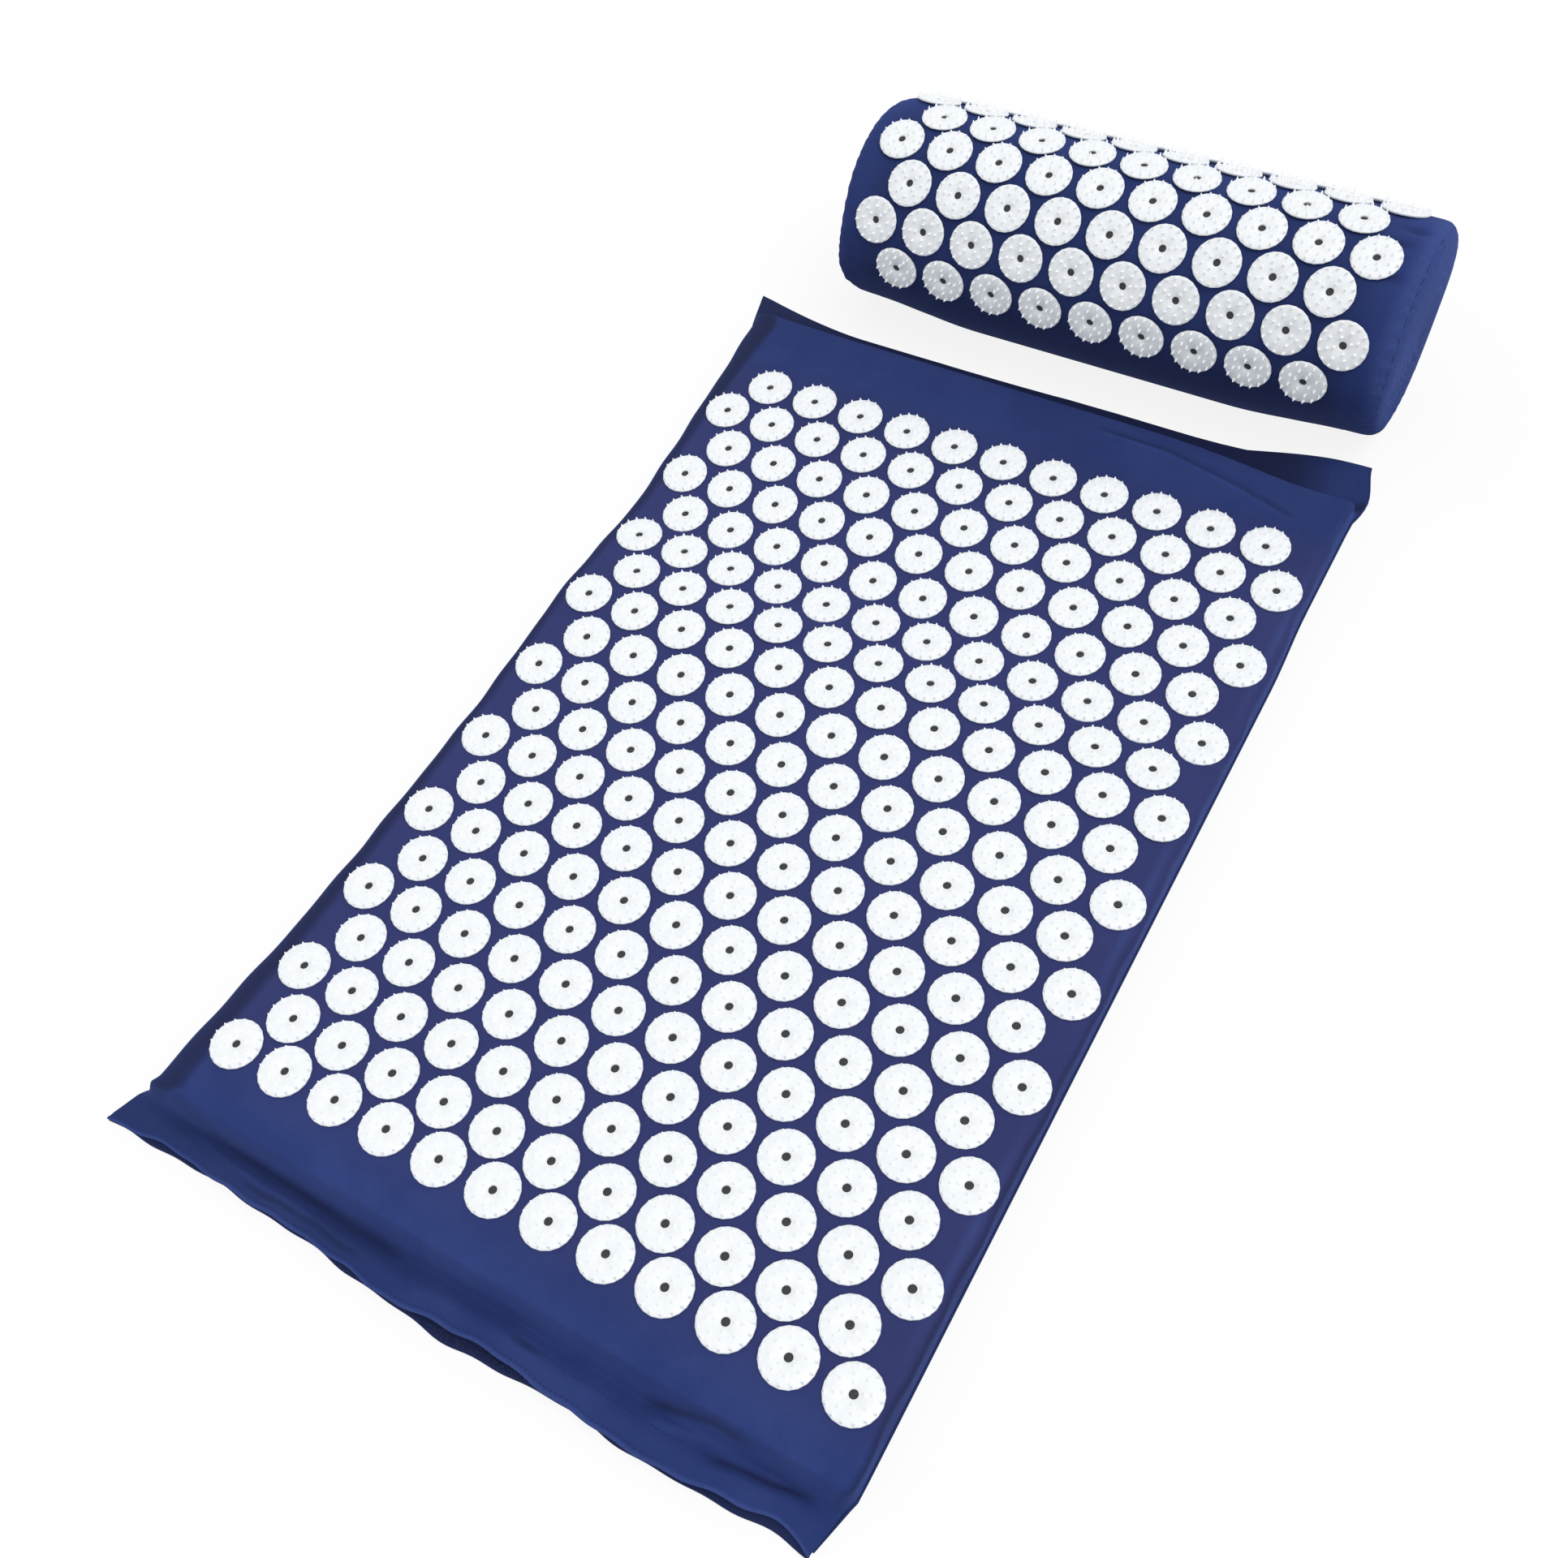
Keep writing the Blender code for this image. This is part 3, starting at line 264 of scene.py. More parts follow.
def ear(u, v):
    """How far a corner of the far end stands out."""
    reach = EAR_RIGHT * outward(u) if u > 0 else EAR_LEFT * outward(u) ** EAR_LEFT_POWER
    return reach * smooth((v - FOAM_FAR) / (TAIL_FAR_Y - FOAM_FAR))


def flap(u, v):
    """How high the far edge curls up from the floor."""
    start = FOAM_FAR + FAR_FALL
    return waves(FLAP_RISES, u) * smooth((v - start) / (TAIL_FAR_Y - start))


def rounding(u, v):
    """The far right corner is sewn round: how far it is drawn in."""
    pull = smooth((u - ROUND_FROM_U) / ROUND_RUN_U) * smooth((v - ROUND_FROM_V) / ROUND_RUN_V)
    return Vector((-ROUND_ACROSS * pull, -ROUND_ALONG * pull, 0))


def tail_height(u, v):
    """How high the loose ends lie: the far flap, or the valley and the lip at the mouth."""
    if v > 0:
        return TAIL_LEVEL + flap(u, v)
    valley_y = FOAM_NEAR - NEAR_FALL
    share = min(max((valley_y - v) / (valley_y - MOUTH_Y), 0.0), 1.0)
    valley = VALLEY + waves(VALLEY_DIPS, u)
    rise = (LIP + waves(LIP_RISES, u) - valley) * smooth(LIP_STEEPNESS * share)
    middle = valley + rise + LIP_CROWN * math.sin(math.pi * share)
    return MOUTH_EDGE + (middle - MOUTH_EDGE) * (1 - outward(u))


def fold_lift(x, y):
    """How far the folds raise or sink the cover at a place; each fades out at its ends."""
    lift = 0.0
    for route, width, height in COVER_FOLDS:
        run = 0.0
        nearest = (1.0, 0.0)
        for (x0, y0), (x1, y1) in zip(route, route[1:]):
            length = math.hypot(x1 - x0, y1 - y0)
            along = ((x - x0) * (x1 - x0) + (y - y0) * (y1 - y0)) / length
            held = min(max(along, 0.0), length)
            gap = math.hypot(x - x0 - held * (x1 - x0) / length, y - y0 - held * (y1 - y0) / length)
            nearest = min(nearest, (gap, run + held))
            run += length
        gap, place = nearest
        lift += height * smooth(min(place, run - place) / FOLD_END) * math.exp(-((gap / width) ** 2))
    return lift


def mat_cover(u, v, h):
    """Where the cover lies: u across, v along, and h out from the cloth's face."""
    side = 1 if u > 0 else -1
    flat = FLAT_RIGHT if u > 0 else FLAT_LEFT
    past = max(abs(u) - flat, 0.0)
    lean = min(past / SHOULDER, math.pi / 2)
    drop = SHOULDER * (1 - math.cos(lean)) + max(past - SHOULDER_ARC, 0.0)
    out = min(abs(u), flat) + (SHOULDER + h) * math.sin(lean) + side_bow(side, v) * smooth(past / SHOULDER)
    out += edge_ripple(side, v) * smooth(past / SHOULDER) * (1 - drop / DROP)
    swell = 0.0
    for height, place, width, slant in SWELLS:
        swell += height * math.exp(-(((v - place - slant * u / FLAT_RIGHT) / width) ** 2))
    swell += NEAR_LEFT_RISE * smooth(-u / FLAT_LEFT) * smooth((NEAR_LEFT_FROM - v) / NEAR_LEFT_RUN)
    held_z = MAT_TOP - drop + h * math.cos(lean) + swell * (1 - drop / DROP)
    hold = over_foam(u, v)
    spread = widening(side, v)
    drift = NEAR_DRIFT + NEAR_TAKEN_UP_SHARE * u if v < 0 else FAR_DRIFT
    x = (1 - spread) * side * out + spread * (u - drift)
    z = hold * held_z + (1 - hold) * (tail_height(u, v) + h)
    return Vector((x, v + ear(u, v), z)) + rounding(u, v)


def loose_cover(u, v, h):
    """The cover with its folds, its slack waves and the waves of its hem."""
    point = mat_cover(u, v, h)
    slack = 1 - over_foam(u, v)
    inner = 1 - outward(u)
    point.z += fold_lift(point.x, point.y) * (FOLD_EDGE_SHARE + (1 - FOLD_EDGE_SHARE) * inner)
    if v < FOAM_NEAR:
        near = smooth((FOAM_NEAR - v) / (FOAM_NEAR - MOUTH_Y))
        point.y += near * waves(LIP_WAVES, point.x)
        for height, length, start in SCALLOPS:
            turn = u / length * math.pi
            point.y += near * height * math.sin(turn + start)
            point.z += near * inner * height * math.sin(turn * SCALLOP_LIFT_RATE + start + 1)
    point.z += SLACK_WAVE * slack * inner * noise.noise(Vector((u, v, 0)) / SLACK_WAVE_LENGTH)
    return point


def deselect():
    """Leaves nothing selected, as the frame comes in selected."""
    if bpy.context.mode != "OBJECT":
        bpy.ops.object.mode_set(mode="OBJECT")
    bpy.ops.object.select_all(action="DESELECT")


def stations(*stretches):
    """Places along a line: each stretch gives its end and how many steps lead there."""
    places = [stretches[0]]
    for end, steps in stretches[1:]:
        start = places[-1]
        places += [start + (end - start) * k / steps for k in range(1, steps + 1)]
    return places


def laid_grid(name, columns, rows, surface, light_painting=lambda column, row: 0.0):
    """A grid primitive whose points are moved onto a surface of column and row, with the painted light and
    shade of each point noted.
    """
    deselect()
    bpy.ops.mesh.primitive_grid_add(x_subdivisions=len(columns) - 1, y_subdivisions=len(rows) - 1, size=1)
    made = bpy.context.object
    made.name = made.data.name = name
    painted_light_and_shade = made.data.attributes.new("painted_light_and_shade", "FLOAT", "POINT")
    for vert in made.data.vertices:
        column = columns[round((vert.co.x + 0.5) * (len(columns) - 1))]
        row = rows[round((vert.co.y + 0.5) * (len(rows) - 1))]
        vert.co = surface(column, row)
        painted_light_and_shade.data[vert.index].value = light_painting(column, row)
    return made


def pick(piece):
    """Leaves one piece selected and active."""
    deselect()
    bpy.context.view_layer.objects.active = piece
    piece.select_set(True)


def use_modifier(piece, kind, **settings):
    """Adds a modifier to a piece and applies it."""
    pick(piece)
    modifier = piece.modifiers.new(kind.title(), kind)
    for setting, value in settings.items():
        setattr(modifier, setting, value)
    bpy.ops.object.modifier_apply(modifier=modifier.name)


def soften(piece, degrees=40):
    """Shades a piece smooth, except over its sharp edges."""
    pick(piece)
    bpy.ops.object.shade_smooth_by_angle(angle=math.radians(degrees))


cover_columns = stations(
    -REACH_LEFT, (-FLAT_LEFT - SHOULDER_ARC, 5), (-FLAT_LEFT, 6), (FLAT_RIGHT, 104),
    (FLAT_RIGHT + SHOULDER_ARC, 6), (REACH_RIGHT, 5),
)
open_rows = stations(
    MOUTH_Y + HEM_ROLL, (FOAM_NEAR - NEAR_FALL, 15), (FOAM_NEAR, 12), (EVEN_ROWS_FROM, 8),
    (EVEN_ROWS_TO, 126), (FOAM_FAR, 28), (FOAM_FAR + RIM_SHIFT + FAR_FALL, 14), (TAIL_FAR_Y, 7),
)
cover_rows = [(MOUTH_Y + past, level * CLOTH) for past, level in HEM_TURN]
cover_rows += [(v, 0.0) for v in open_rows]


def cover_painted_tones(u, v):
    """Above nothing where a highlight is painted on the cloth, and below it where shade is painted where it
    lies low and in its grooves.
    """
    place = mat_cover(u, v, 0)
    fold = fold_lift(place.x, place.y)
    hold = over_foam(u, v)
    paint_level = smooth(1 - (v - MOUTH_Y) / HEM_HIGHLIGHT_RUN)
    paint_level += RIM_HIGHLIGHT_SHARE * smooth(outward(u) * RIM_HIGHLIGHT_STEEPNESS - RIM_HIGHLIGHT_START) * hold
    paint_level += RIDGE_HIGHLIGHT * max(fold, 0) + GROOVE_SHADE * min(fold, 0) + rim_painted_tones(u, v) * hold
    if v < 0:
        from_right = smooth((NEAR_SHADE_FROM - u) / NEAR_SHADE_RUN)
        across = NEAR_SHADE_RIGHT_SHARE + (1 - NEAR_SHADE_RIGHT_SHARE) * from_right
        return paint_level - (1 - hold) * NEAR_SHADE_SHARE * across
    foot = FOAM_FAR + RIM_SHIFT + waves(RIM_DIPS, u) + FAR_FALL
    groove = FOOT_SHADE_SHARE * math.exp(-(((v - foot) / FOOT_SHADE_WIDTH) ** 2))
    far_top = FAR_TOP_SHADE_SHARE * smooth((v - FAR_TOP_FROM) / FAR_TOP_RUN)
    across = 1 - FAR_CORNER_LIGHT_SHARE * smooth((u - FAR_CORNER_FROM) / FAR_CORNER_RUN)
    return paint_level - max((1 - hold) * FAR_SHADE_SHARE * across, groove, far_top)


# Each point of the cover notes its painted highlight and painted shade.
cover = laid_grid(
    "mat_cover", cover_columns, cover_rows, lambda u, row: loose_cover(u, row[0], row[1]),
    lambda u, row: cover_painted_tones(u, row[0]),
)
use_modifier(cover, "SOLIDIFY", thickness=TURNED_CLOTH, offset=-1)
soften(cover)


class Wire:
    """One output socket in a material. A sum or product of wires adds its Math nodes."""

    def __init__(self, finish, socket):
        self.finish = finish
        self.socket = socket

    def __add__(self, other):
        return self.finish.math("ADD", self, other)

    def __sub__(self, other):
        return self.finish.math("SUBTRACT", self, other)

    def __rsub__(self, other):
        return self.finish.math("SUBTRACT", other, self)

    def __mul__(self, other):
        return self.finish.math("MULTIPLY", self, other)


class Finish:
    """A material in the making, on one Principled shader."""

    def __init__(self, name, colour, roughness):
        self.material = bpy.data.materials.new(name)
        self.material.use_nodes = True
        self.tree = self.material.node_tree
        self.shader = self.tree.nodes["Principled BSDF"]
        self.set("Base Color", (*colour, 1.0))
        self.set("Roughness", roughness)

    def set(self, socket, value):
        self.join(self.shader.inputs[socket], value)

    def join(self, socket, value):
        if isinstance(value, Wire):
            self.tree.links.new(value.socket, socket)
        else:
            socket.default_value = value

    def node(self, kind, settings=None, sockets=None, out=0):
        made = self.tree.nodes.new(kind)
        for name, value in (settings or {}).items():
            setattr(made, name, value)
        for name, value in (sockets or {}).items():
            self.join(made.inputs[name], value)
        return Wire(self, made.outputs[out])

    def math(self, operation, *values):
        return self.node("ShaderNodeMath", {"operation": operation}, dict(enumerate(values)))

    def place(self):
        return self.node("ShaderNodeTexCoord", out="Object")

    def parts(self):
        """The three coordinates of a place on the piece."""
        first = self.node("ShaderNodeSeparateXYZ", sockets={0: self.place()})
        return [Wire(self, first.socket.node.outputs[k]) for k in range(3)]

    def grain(self, scale, detail, roughness=0.5):
        sockets = {"Vector": self.place(), "Scale": scale, "Detail": detail, "Roughness": roughness}
        return self.node("ShaderNodeTexNoise", sockets=sockets)

    def cells(self, scale):
        return self.node("ShaderNodeTexVoronoi", sockets={"Vector": self.place(), "Scale": scale})

    def between(self, value, low, high, to_low=0.0, to_high=1.0):
        sockets = {"Value": value, "From Min": low, "From Max": high, "To Min": to_low, "To Max": to_high}
        return self.node("ShaderNodeMapRange", {"interpolation_type": "SMOOTHSTEP"}, sockets)

    def mix(self, factor, one, other):
        sockets = {"Factor": factor, 6: self.colour(one), 7: self.colour(other)}
        return self.node("ShaderNodeMix", {"data_type": "RGBA"}, sockets, out=2)

    def colour(self, value):
        return value if isinstance(value, Wire) or len(value) == 4 else (*value, 1.0)

    def tones(self, pattern, low, high, one, other):
        """Colours the surface from one tone to the other as a pattern rises from low to high."""
        self.set("Base Color", self.mix(self.between(pattern, low, high), one, other))

    def fuzz(self, specular, sheen):
        """Gives the surface the dull face and the bloom of navy cloth."""
        self.set("Specular IOR Level", specular)
        self.set("Sheen Weight", sheen)
        self.set("Sheen Tint", NAVY_SHEEN)

    def bump(self, height, distance, strength):
        sockets = {"Height": height, "Distance": distance, "Strength": strength}
        self.set("Normal", self.node("ShaderNodeBump", sockets=sockets))


NAVY = (0.021, 0.041, 0.170)
NAVY_PALE = (0.030, 0.053, 0.200)
NAVY_DEEP = (0.017, 0.032, 0.138)
# Painted bounce light and shade among the discs: the violet that tints the cloth in the disc field.
NAVY_PAINTED_BOUNCE = (0.043, 0.040, 0.122)
# Painted highlight and painted shade: the colours that the points' noted values mix into the cloth.
NAVY_PAINTED_HIGHLIGHT = (0.058, 0.095, 0.300)
NAVY_PAINTED_SHADE = (0.0105, 0.0135, 0.042)
NAVY_SHEEN = (0.16, 0.26, 0.85, 1.0)
THREAD_PITCH = 0.0006
THREAD_RELIEF = 0.00018
# Where the painted violet among the discs fades in and where it is full.
FIELD_END = 0.30
FIELD_INSIDE = 0.26
AMONG_DISCS_PAINT_SHARE = 0.55


def woven(finish, across, along, among):
    """Plain weave of two thread directions, with slubs; colours the cloth, paints light and shade into it,
    and raises its threads.
    """
    turns = 2 * math.pi / THREAD_PITCH
    weave = finish.math("SINE", across * turns) * finish.math("SINE", along * turns)
    slubs = finish.grain(900, 2.0)
    cloudy = finish.grain(22, 4.0, 0.6)
    broad = finish.grain(5, 2.0)
    ground = finish.mix(finish.between(cloudy, 0.35, 0.7), NAVY, NAVY_PALE)
    ground = finish.mix(finish.between(broad, 0.42, 0.72, 0.0, 0.6), ground, NAVY_DEEP)
    # Painted bounce light and shade tint the cloth violet among the discs.
    ground = finish.mix(among, ground, NAVY_PAINTED_BOUNCE)
    # Painted highlights and painted shade, from the values noted on the points.
    painted_light_and_shade = finish.node("ShaderNodeAttribute", {"attribute_name": "painted_light_and_shade"}, out="Fac")
    ground = finish.mix(painted_light_and_shade * finish.between(slubs, 0.2, 0.6, 0.25, 0.9), ground, NAVY_PAINTED_HIGHLIGHT)
    ground = finish.mix(painted_light_and_shade * -1.0, ground, NAVY_PAINTED_SHADE)
    finish.set("Base Color", finish.mix(finish.between(weave, -1.0, 1.0, 0.0, 0.12), ground, NAVY_PALE))
    finish.set("Roughness", finish.between(slubs, 0.3, 0.7, 0.82, 0.95))
    finish.fuzz(0.15, 0.35)
    finish.set("Sheen Roughness", 0.45)
    finish.bump(weave * 0.6 + slubs, THREAD_RELIEF, 0.5)


mat_cloth = Finish("navy cotton, mat", NAVY, 0.88)
cloth_x, cloth_y, _ = mat_cloth.parts()
# The painted violet among the discs covers the disc field.
past_near_end = mat_cloth.between(cloth_y, -FIELD_END, -FIELD_INSIDE)
before_far_end = mat_cloth.between(cloth_y, FIELD_END, FIELD_INSIDE)
woven(mat_cloth, cloth_x, cloth_y, past_near_end * before_far_end * AMONG_DISCS_PAINT_SHARE)
cover.data.materials.append(mat_cloth.material)
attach(cover, "mat")
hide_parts("mat_top_panel")

# The base cloth is the same cotton, flat on the floor. Its near edge is the lower lip of the opening,
# turned in like the upper one and a little longer.
LOWER_LIP_Y = -0.33444
BASE_SHADE_SHARE = 0.75
BASE_SHADE_RUN = 0.01
BASE_HEM_TURN = (
    (HEM_DEPTH, 0.0021), (HEM_TURN_RUN, 0.0021), (0.0004, 0.0018), (0.0, 0.0010), (0.0004, 0.0003),
)
BASE_SCALLOP_RATE = 0.8
LOWER_WAVES = (
    (-0.235, 0.030, 0.0050), (-0.175, 0.035, 0.0060), (-0.112, 0.040, 0.0044), (-0.004, 0.026, -0.0024),
    (0.058, 0.020, 0.0015), (0.108, 0.022, -0.0013), (0.175, 0.020, 0.0020),
)


def edge_x(side, v):
    """Where a side edge of the base cloth lies."""
    flat = FLAT_RIGHT if side > 0 else FLAT_LEFT
    held = flat + SHOULDER + side_bow(side, v)
    spread = widening(side, v)
    reach = side * (flat + MARGIN)
    drift = NEAR_DRIFT + NEAR_TAKEN_UP_SHARE * reach if v < 0 else FAR_DRIFT
    return (1 - spread) * side * held + spread * (reach - drift)


def mat_base(u, v, h):
    """Where the base cloth lies, with u, v and h as for the cover."""
    share = (u + REACH_LEFT) / (REACH_LEFT + REACH_RIGHT)
    left, right = edge_x(-1, v), edge_x(1, v)
    lift = flap(u, v) if v > 0 else 0.0
    return Vector((left + (right - left) * share, v + ear(u, v), h + lift)) + rounding(u, v)


def loose_base(u, v, h):
    """The base cloth with the waves of its lip."""
    point = mat_base(u, v, h)
    near = smooth((FOAM_NEAR - v) / (FOAM_NEAR - LOWER_LIP_Y))
    point.y += near * waves(LOWER_WAVES, point.x)
    for height, length, start in SCALLOPS:
        turn = u / length * math.pi
        point.y += near * height * math.sin(turn * BASE_SCALLOP_RATE + start + 2)
        point.z += near * (1 - outward(u)) * 0.5 * height * (1 + math.sin(turn + start))
    return point


def edit(piece, operator, **settings):
    """Runs a mesh operator on the whole of a piece."""
    pick(piece)
    bpy.ops.object.mode_set(mode="EDIT")
    bpy.ops.mesh.select_all(action="SELECT")
    operator(**settings)
    bpy.ops.object.mode_set(mode="OBJECT")


base_columns = stations(-REACH_LEFT, (-TAIL_BEND, 16), (TAIL_BEND, 70), (REACH_RIGHT, 20))
base_open_rows = stations(
    LOWER_LIP_Y + HEM_TURN_RUN, (FOAM_NEAR, 14), (FOAM_FAR, 40), (FOAM_FAR + FAR_FALL, 10), (TAIL_FAR_Y, 7),
)
base_rows = [(LOWER_LIP_Y + past, level) for past, level in BASE_HEM_TURN]
base_rows += [(v, 0.0) for v in base_open_rows]
# The near strip of the base cloth, under the upper hem, is darkened by painted shade.
base = laid_grid(
    "mat_base", base_columns, base_rows, lambda u, row: loose_base(u, row[0], row[1]),
    lambda u, row: -BASE_SHADE_SHARE * smooth((FOAM_NEAR - row[0]) / BASE_SHADE_RUN),
)
edit(base, bpy.ops.mesh.flip_normals)
use_modifier(base, "SOLIDIFY", thickness=TURNED_CLOTH, offset=-1)
soften(base)
base.data.materials.append(mat_cloth.material)
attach(base, "mat")
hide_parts("mat_base_panel")

# The slab inside is open-cell polyurethane foam, cut from sheet. Only its near end can be seen, through
# the opening of the sleeve.
FOAM_INSET = 0.0013
FOAM_SLACK = 0.0012
FOAM_END_GAP = 0.0004
FOAM_SIDE_GAP = 0.001
FOAM_WELD = 0.0001
FAR_FOLDS_FROM = 0.280
FAR_FOLDS_RUN = 0.012
FAR_FOLD_ROOM_SHARE = 0.12
PORE_DEPTH = 0.0004


def foam_side(u, share):
    """The slab's skin from foot to foot, lower at the far end where the cover's folds dip."""
    v = FOAM_NEAR + FOAM_END_GAP + (FOAM_FAR - FOAM_NEAR - 2 * FOAM_END_GAP) * share
    point = mat_cover(u, v, -(FOAM_INSET + FOAM_SLACK))
    room = FAR_FOLD_ROOM_SHARE * smooth((v - FAR_FOLDS_FROM) / FAR_FOLDS_RUN)
    point.z -= room * (point.z - FOAM_INSET)
    return point


def weld(piece, threshold):
    """Merges the points that lie together and turns all faces outwards."""
    edit(piece, bpy.ops.mesh.remove_doubles, threshold=threshold)
    edit(piece, bpy.ops.mesh.normals_make_consistent, inside=False)


foam_columns = stations(
    -REACH_LEFT + FOAM_SIDE_GAP, (-FLAT_LEFT - SHOULDER_ARC, 2), (-FLAT_LEFT, 4), (FLAT_RIGHT, 40),
    (FLAT_RIGHT + SHOULDER_ARC, 4), (REACH_RIGHT - FOAM_SIDE_GAP, 2),
)
foam = laid_grid("mat_foam", foam_columns, stations(0.0, (1.0, 72)), foam_side)
edit(foam, bpy.ops.mesh.extrude_region_move)
for vert in foam.data.vertices:
    if vert.select:
        vert.co.z = FOAM_INSET
weld(foam, FOAM_WELD)
soften(foam)
foam_finish = Finish("cream foam", (0.80, 0.76, 0.62), 0.95)
# The pores are darker in their hollows: painted shade.
pores = foam_finish.cells(900)
foam_finish.tones(pores, 0.1, 0.5, (0.62, 0.56, 0.42), (0.82, 0.78, 0.64))
foam_finish.bump(pores, PORE_DEPTH, 0.8)
foam.data.materials.append(foam_finish.material)
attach(foam, "mat")
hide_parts("mat_foam_core")

# The discs are moulded in white plastic, each with a hole in the middle and 27 spikes in three rings.
# Each is bonded to the cloth, and the rows are staggered by half a pitch.
DISC_THICKNESS = 0.0016
DISC_FOOT = 0.0010
DISC_DRAFT = 0.0004
DISC_WAIST = 0.0005
DISC_SINK = 0.0002
DISC_STEPS = 20
DISC_WELD = 0.00002
DISC_EDGE = 0.00035
HOLE_RADIUS = 0.0023
# A dark plug in each disc's hole is painted shade; the values below size it.
HOLE_SHADE_LEVEL = 0.0003
HOLE_SHADE_OVERLAP = 0.0002
SPIKE_HEIGHT = 0.0024
SPIKE_RADIUS = 0.0011
SPIKE_TIP = 0.0003
SPIKE_SIDES = 4
SPIKE_RINGS = ((15, 0.90), (8, 0.59), (4, 0.33))
# The spikes glow a little: painted light that lifts their shaded sides.
SPIKE_PAINTED_GLOW = 0.10
FLOW_RELIEF = 0.00008
SPIKE_RELIEF = 0.00005
HOLE_SHADE_RELIEF = 0.0002
DISC_TURN = 2.4
SEAT_STEP = 0.0015
FIELD_DRIFT = 0.0012
FIELD_BOW = 0.0044
FIRST_ROW_DRAWN = 0.0022

white = Finish("white moulded plastic", (0.89, 0.92, 0.94), 0.4)
mottle = white.grain(160, 3.0)
white.tones(mottle, 0.35, 0.7, (0.87, 0.905, 0.935), (0.91, 0.93, 0.945))
white.set("Roughness", white.between(mottle, 0.3, 0.7, 0.34, 0.5))
white.bump(white.grain(1400, 2.0), FLOW_RELIEF, 0.5)
spike_white = Finish("white moulded plastic, spikes", (0.90, 0.925, 0.945), 0.4)
spike_grain = spike_white.grain(900, 2.0)
spike_white.tones(spike_grain, 0.35, 0.7, (0.88, 0.91, 0.935), (0.92, 0.935, 0.95))
# The glow is painted light on the shaded sides of the spikes.
spike_white.set("Emission Color", (0.90, 0.93, 0.96, 1.0))
spike_white.set("Emission Strength", SPIKE_PAINTED_GLOW)
spike_white.bump(spike_grain, SPIKE_RELIEF, 0.4)
# The dark plug's colour is painted shade in the disc's hole.
hole_shade_paint = Finish("painted shade in the disc hole", (0.016, 0.017, 0.022), 0.5)
hole_shade_grain = hole_shade_paint.grain(1800, 2.0)
hole_shade_paint.tones(hole_shade_grain, 0.35, 0.65, (0.010, 0.011, 0.015), (0.026, 0.027, 0.032))
hole_shade_paint.bump(hole_shade_grain, HOLE_SHADE_RELIEF, 0.6)


def round_edges(piece, width, segments, degrees=30):
    """Bevels the edges of a piece that are sharper than an angle."""
    sharper = math.radians(degrees)
    use_modifier(piece, "BEVEL", width=width, segments=segments, limit_method="ANGLE", angle_limit=sharper)


deselect()
bpy.ops.mesh.primitive_circle_add(vertices=5, radius=DISC_RADIUS)
disc = bpy.context.object
disc.name = disc.data.name = "disc"
corners = (
    (HOLE_RADIUS, -DISC_SINK), (DISC_RADIUS - DISC_FOOT, -DISC_SINK), (DISC_RADIUS, DISC_WAIST),
    (DISC_RADIUS - DISC_DRAFT, DISC_THICKNESS), (HOLE_RADIUS, DISC_THICKNESS),
)
for vert, (across, up) in zip(disc.data.vertices, corners):
    vert.co = (across, 0, up)
edit(disc, bpy.ops.mesh.spin, steps=DISC_STEPS, angle=2 * math.pi, center=(0, 0, 0), axis=(0, 0, 1))
weld(disc, DISC_WELD)
round_edges(disc, DISC_EDGE, 1, 60)
disc.data.materials.append(white.material)
spikes = []
spike_middle = DISC_THICKNESS + (SPIKE_HEIGHT - DISC_SINK) / 2
for count, share in SPIKE_RINGS:
    reach = share * DISC_RADIUS
    for k in range(count):
        turn = math.pi / 2 + 2 * math.pi * k / count
        deselect()
        bpy.ops.mesh.primitive_cone_add(
            vertices=SPIKE_SIDES, radius1=SPIKE_RADIUS, radius2=SPIKE_TIP, depth=SPIKE_HEIGHT + DISC_SINK,
            location=(reach * math.cos(turn), reach * math.sin(turn), spike_middle), rotation=(0, 0, turn),
        )
        spikes.append(bpy.context.object)
        spikes[-1].data.materials.append(spike_white.material)
# The dark plug of painted shade sits in the disc's hole.
deselect()
bpy.ops.mesh.primitive_cylinder_add(
    vertices=10, radius=HOLE_RADIUS + HOLE_SHADE_OVERLAP, depth=HOLE_SHADE_LEVEL + DISC_SINK,
    location=(0, 0, (HOLE_SHADE_LEVEL - DISC_SINK) / 2),
)
hole_shade_plug = bpy.context.object
hole_shade_plug.data.materials.append(hole_shade_paint.material)
pick(disc)
for piece in [*spikes, hole_shade_plug]:
    piece.select_set(True)
bpy.ops.object.join()
soften(disc, 60)


def disc_seat(surface, u, v):
    """The frame of a disc on a surface: X along the row, Z along the cloth's normal."""
    along = surface(u + SEAT_STEP, v, 0) - surface(u - SEAT_STEP, v, 0)
    across = surface(u, v + SEAT_STEP, 0) - surface(u, v - SEAT_STEP, 0)
    x_axis = along.normalized()
    z_axis = along.cross(across).normalized()
    frame_axes = Matrix((x_axis, z_axis.cross(x_axis), z_axis)).transposed().to_4x4()
    return Matrix.Translation(surface(u, v, 0)) @ frame_axes


def joined_copies(pattern, places, name):
    """Copies a piece to each place and joins the copies into one."""
    deselect()
    for place in places:
        copy = pattern.copy()
        copy.data = pattern.data.copy()
        bpy.context.scene.collection.objects.link(copy)
        copy.data.transform(place)
        copy.select_set(True)
        bpy.context.view_layer.objects.active = copy
    bpy.ops.object.join()
    made = bpy.context.object
    made.name = made.data.name = name
    return made


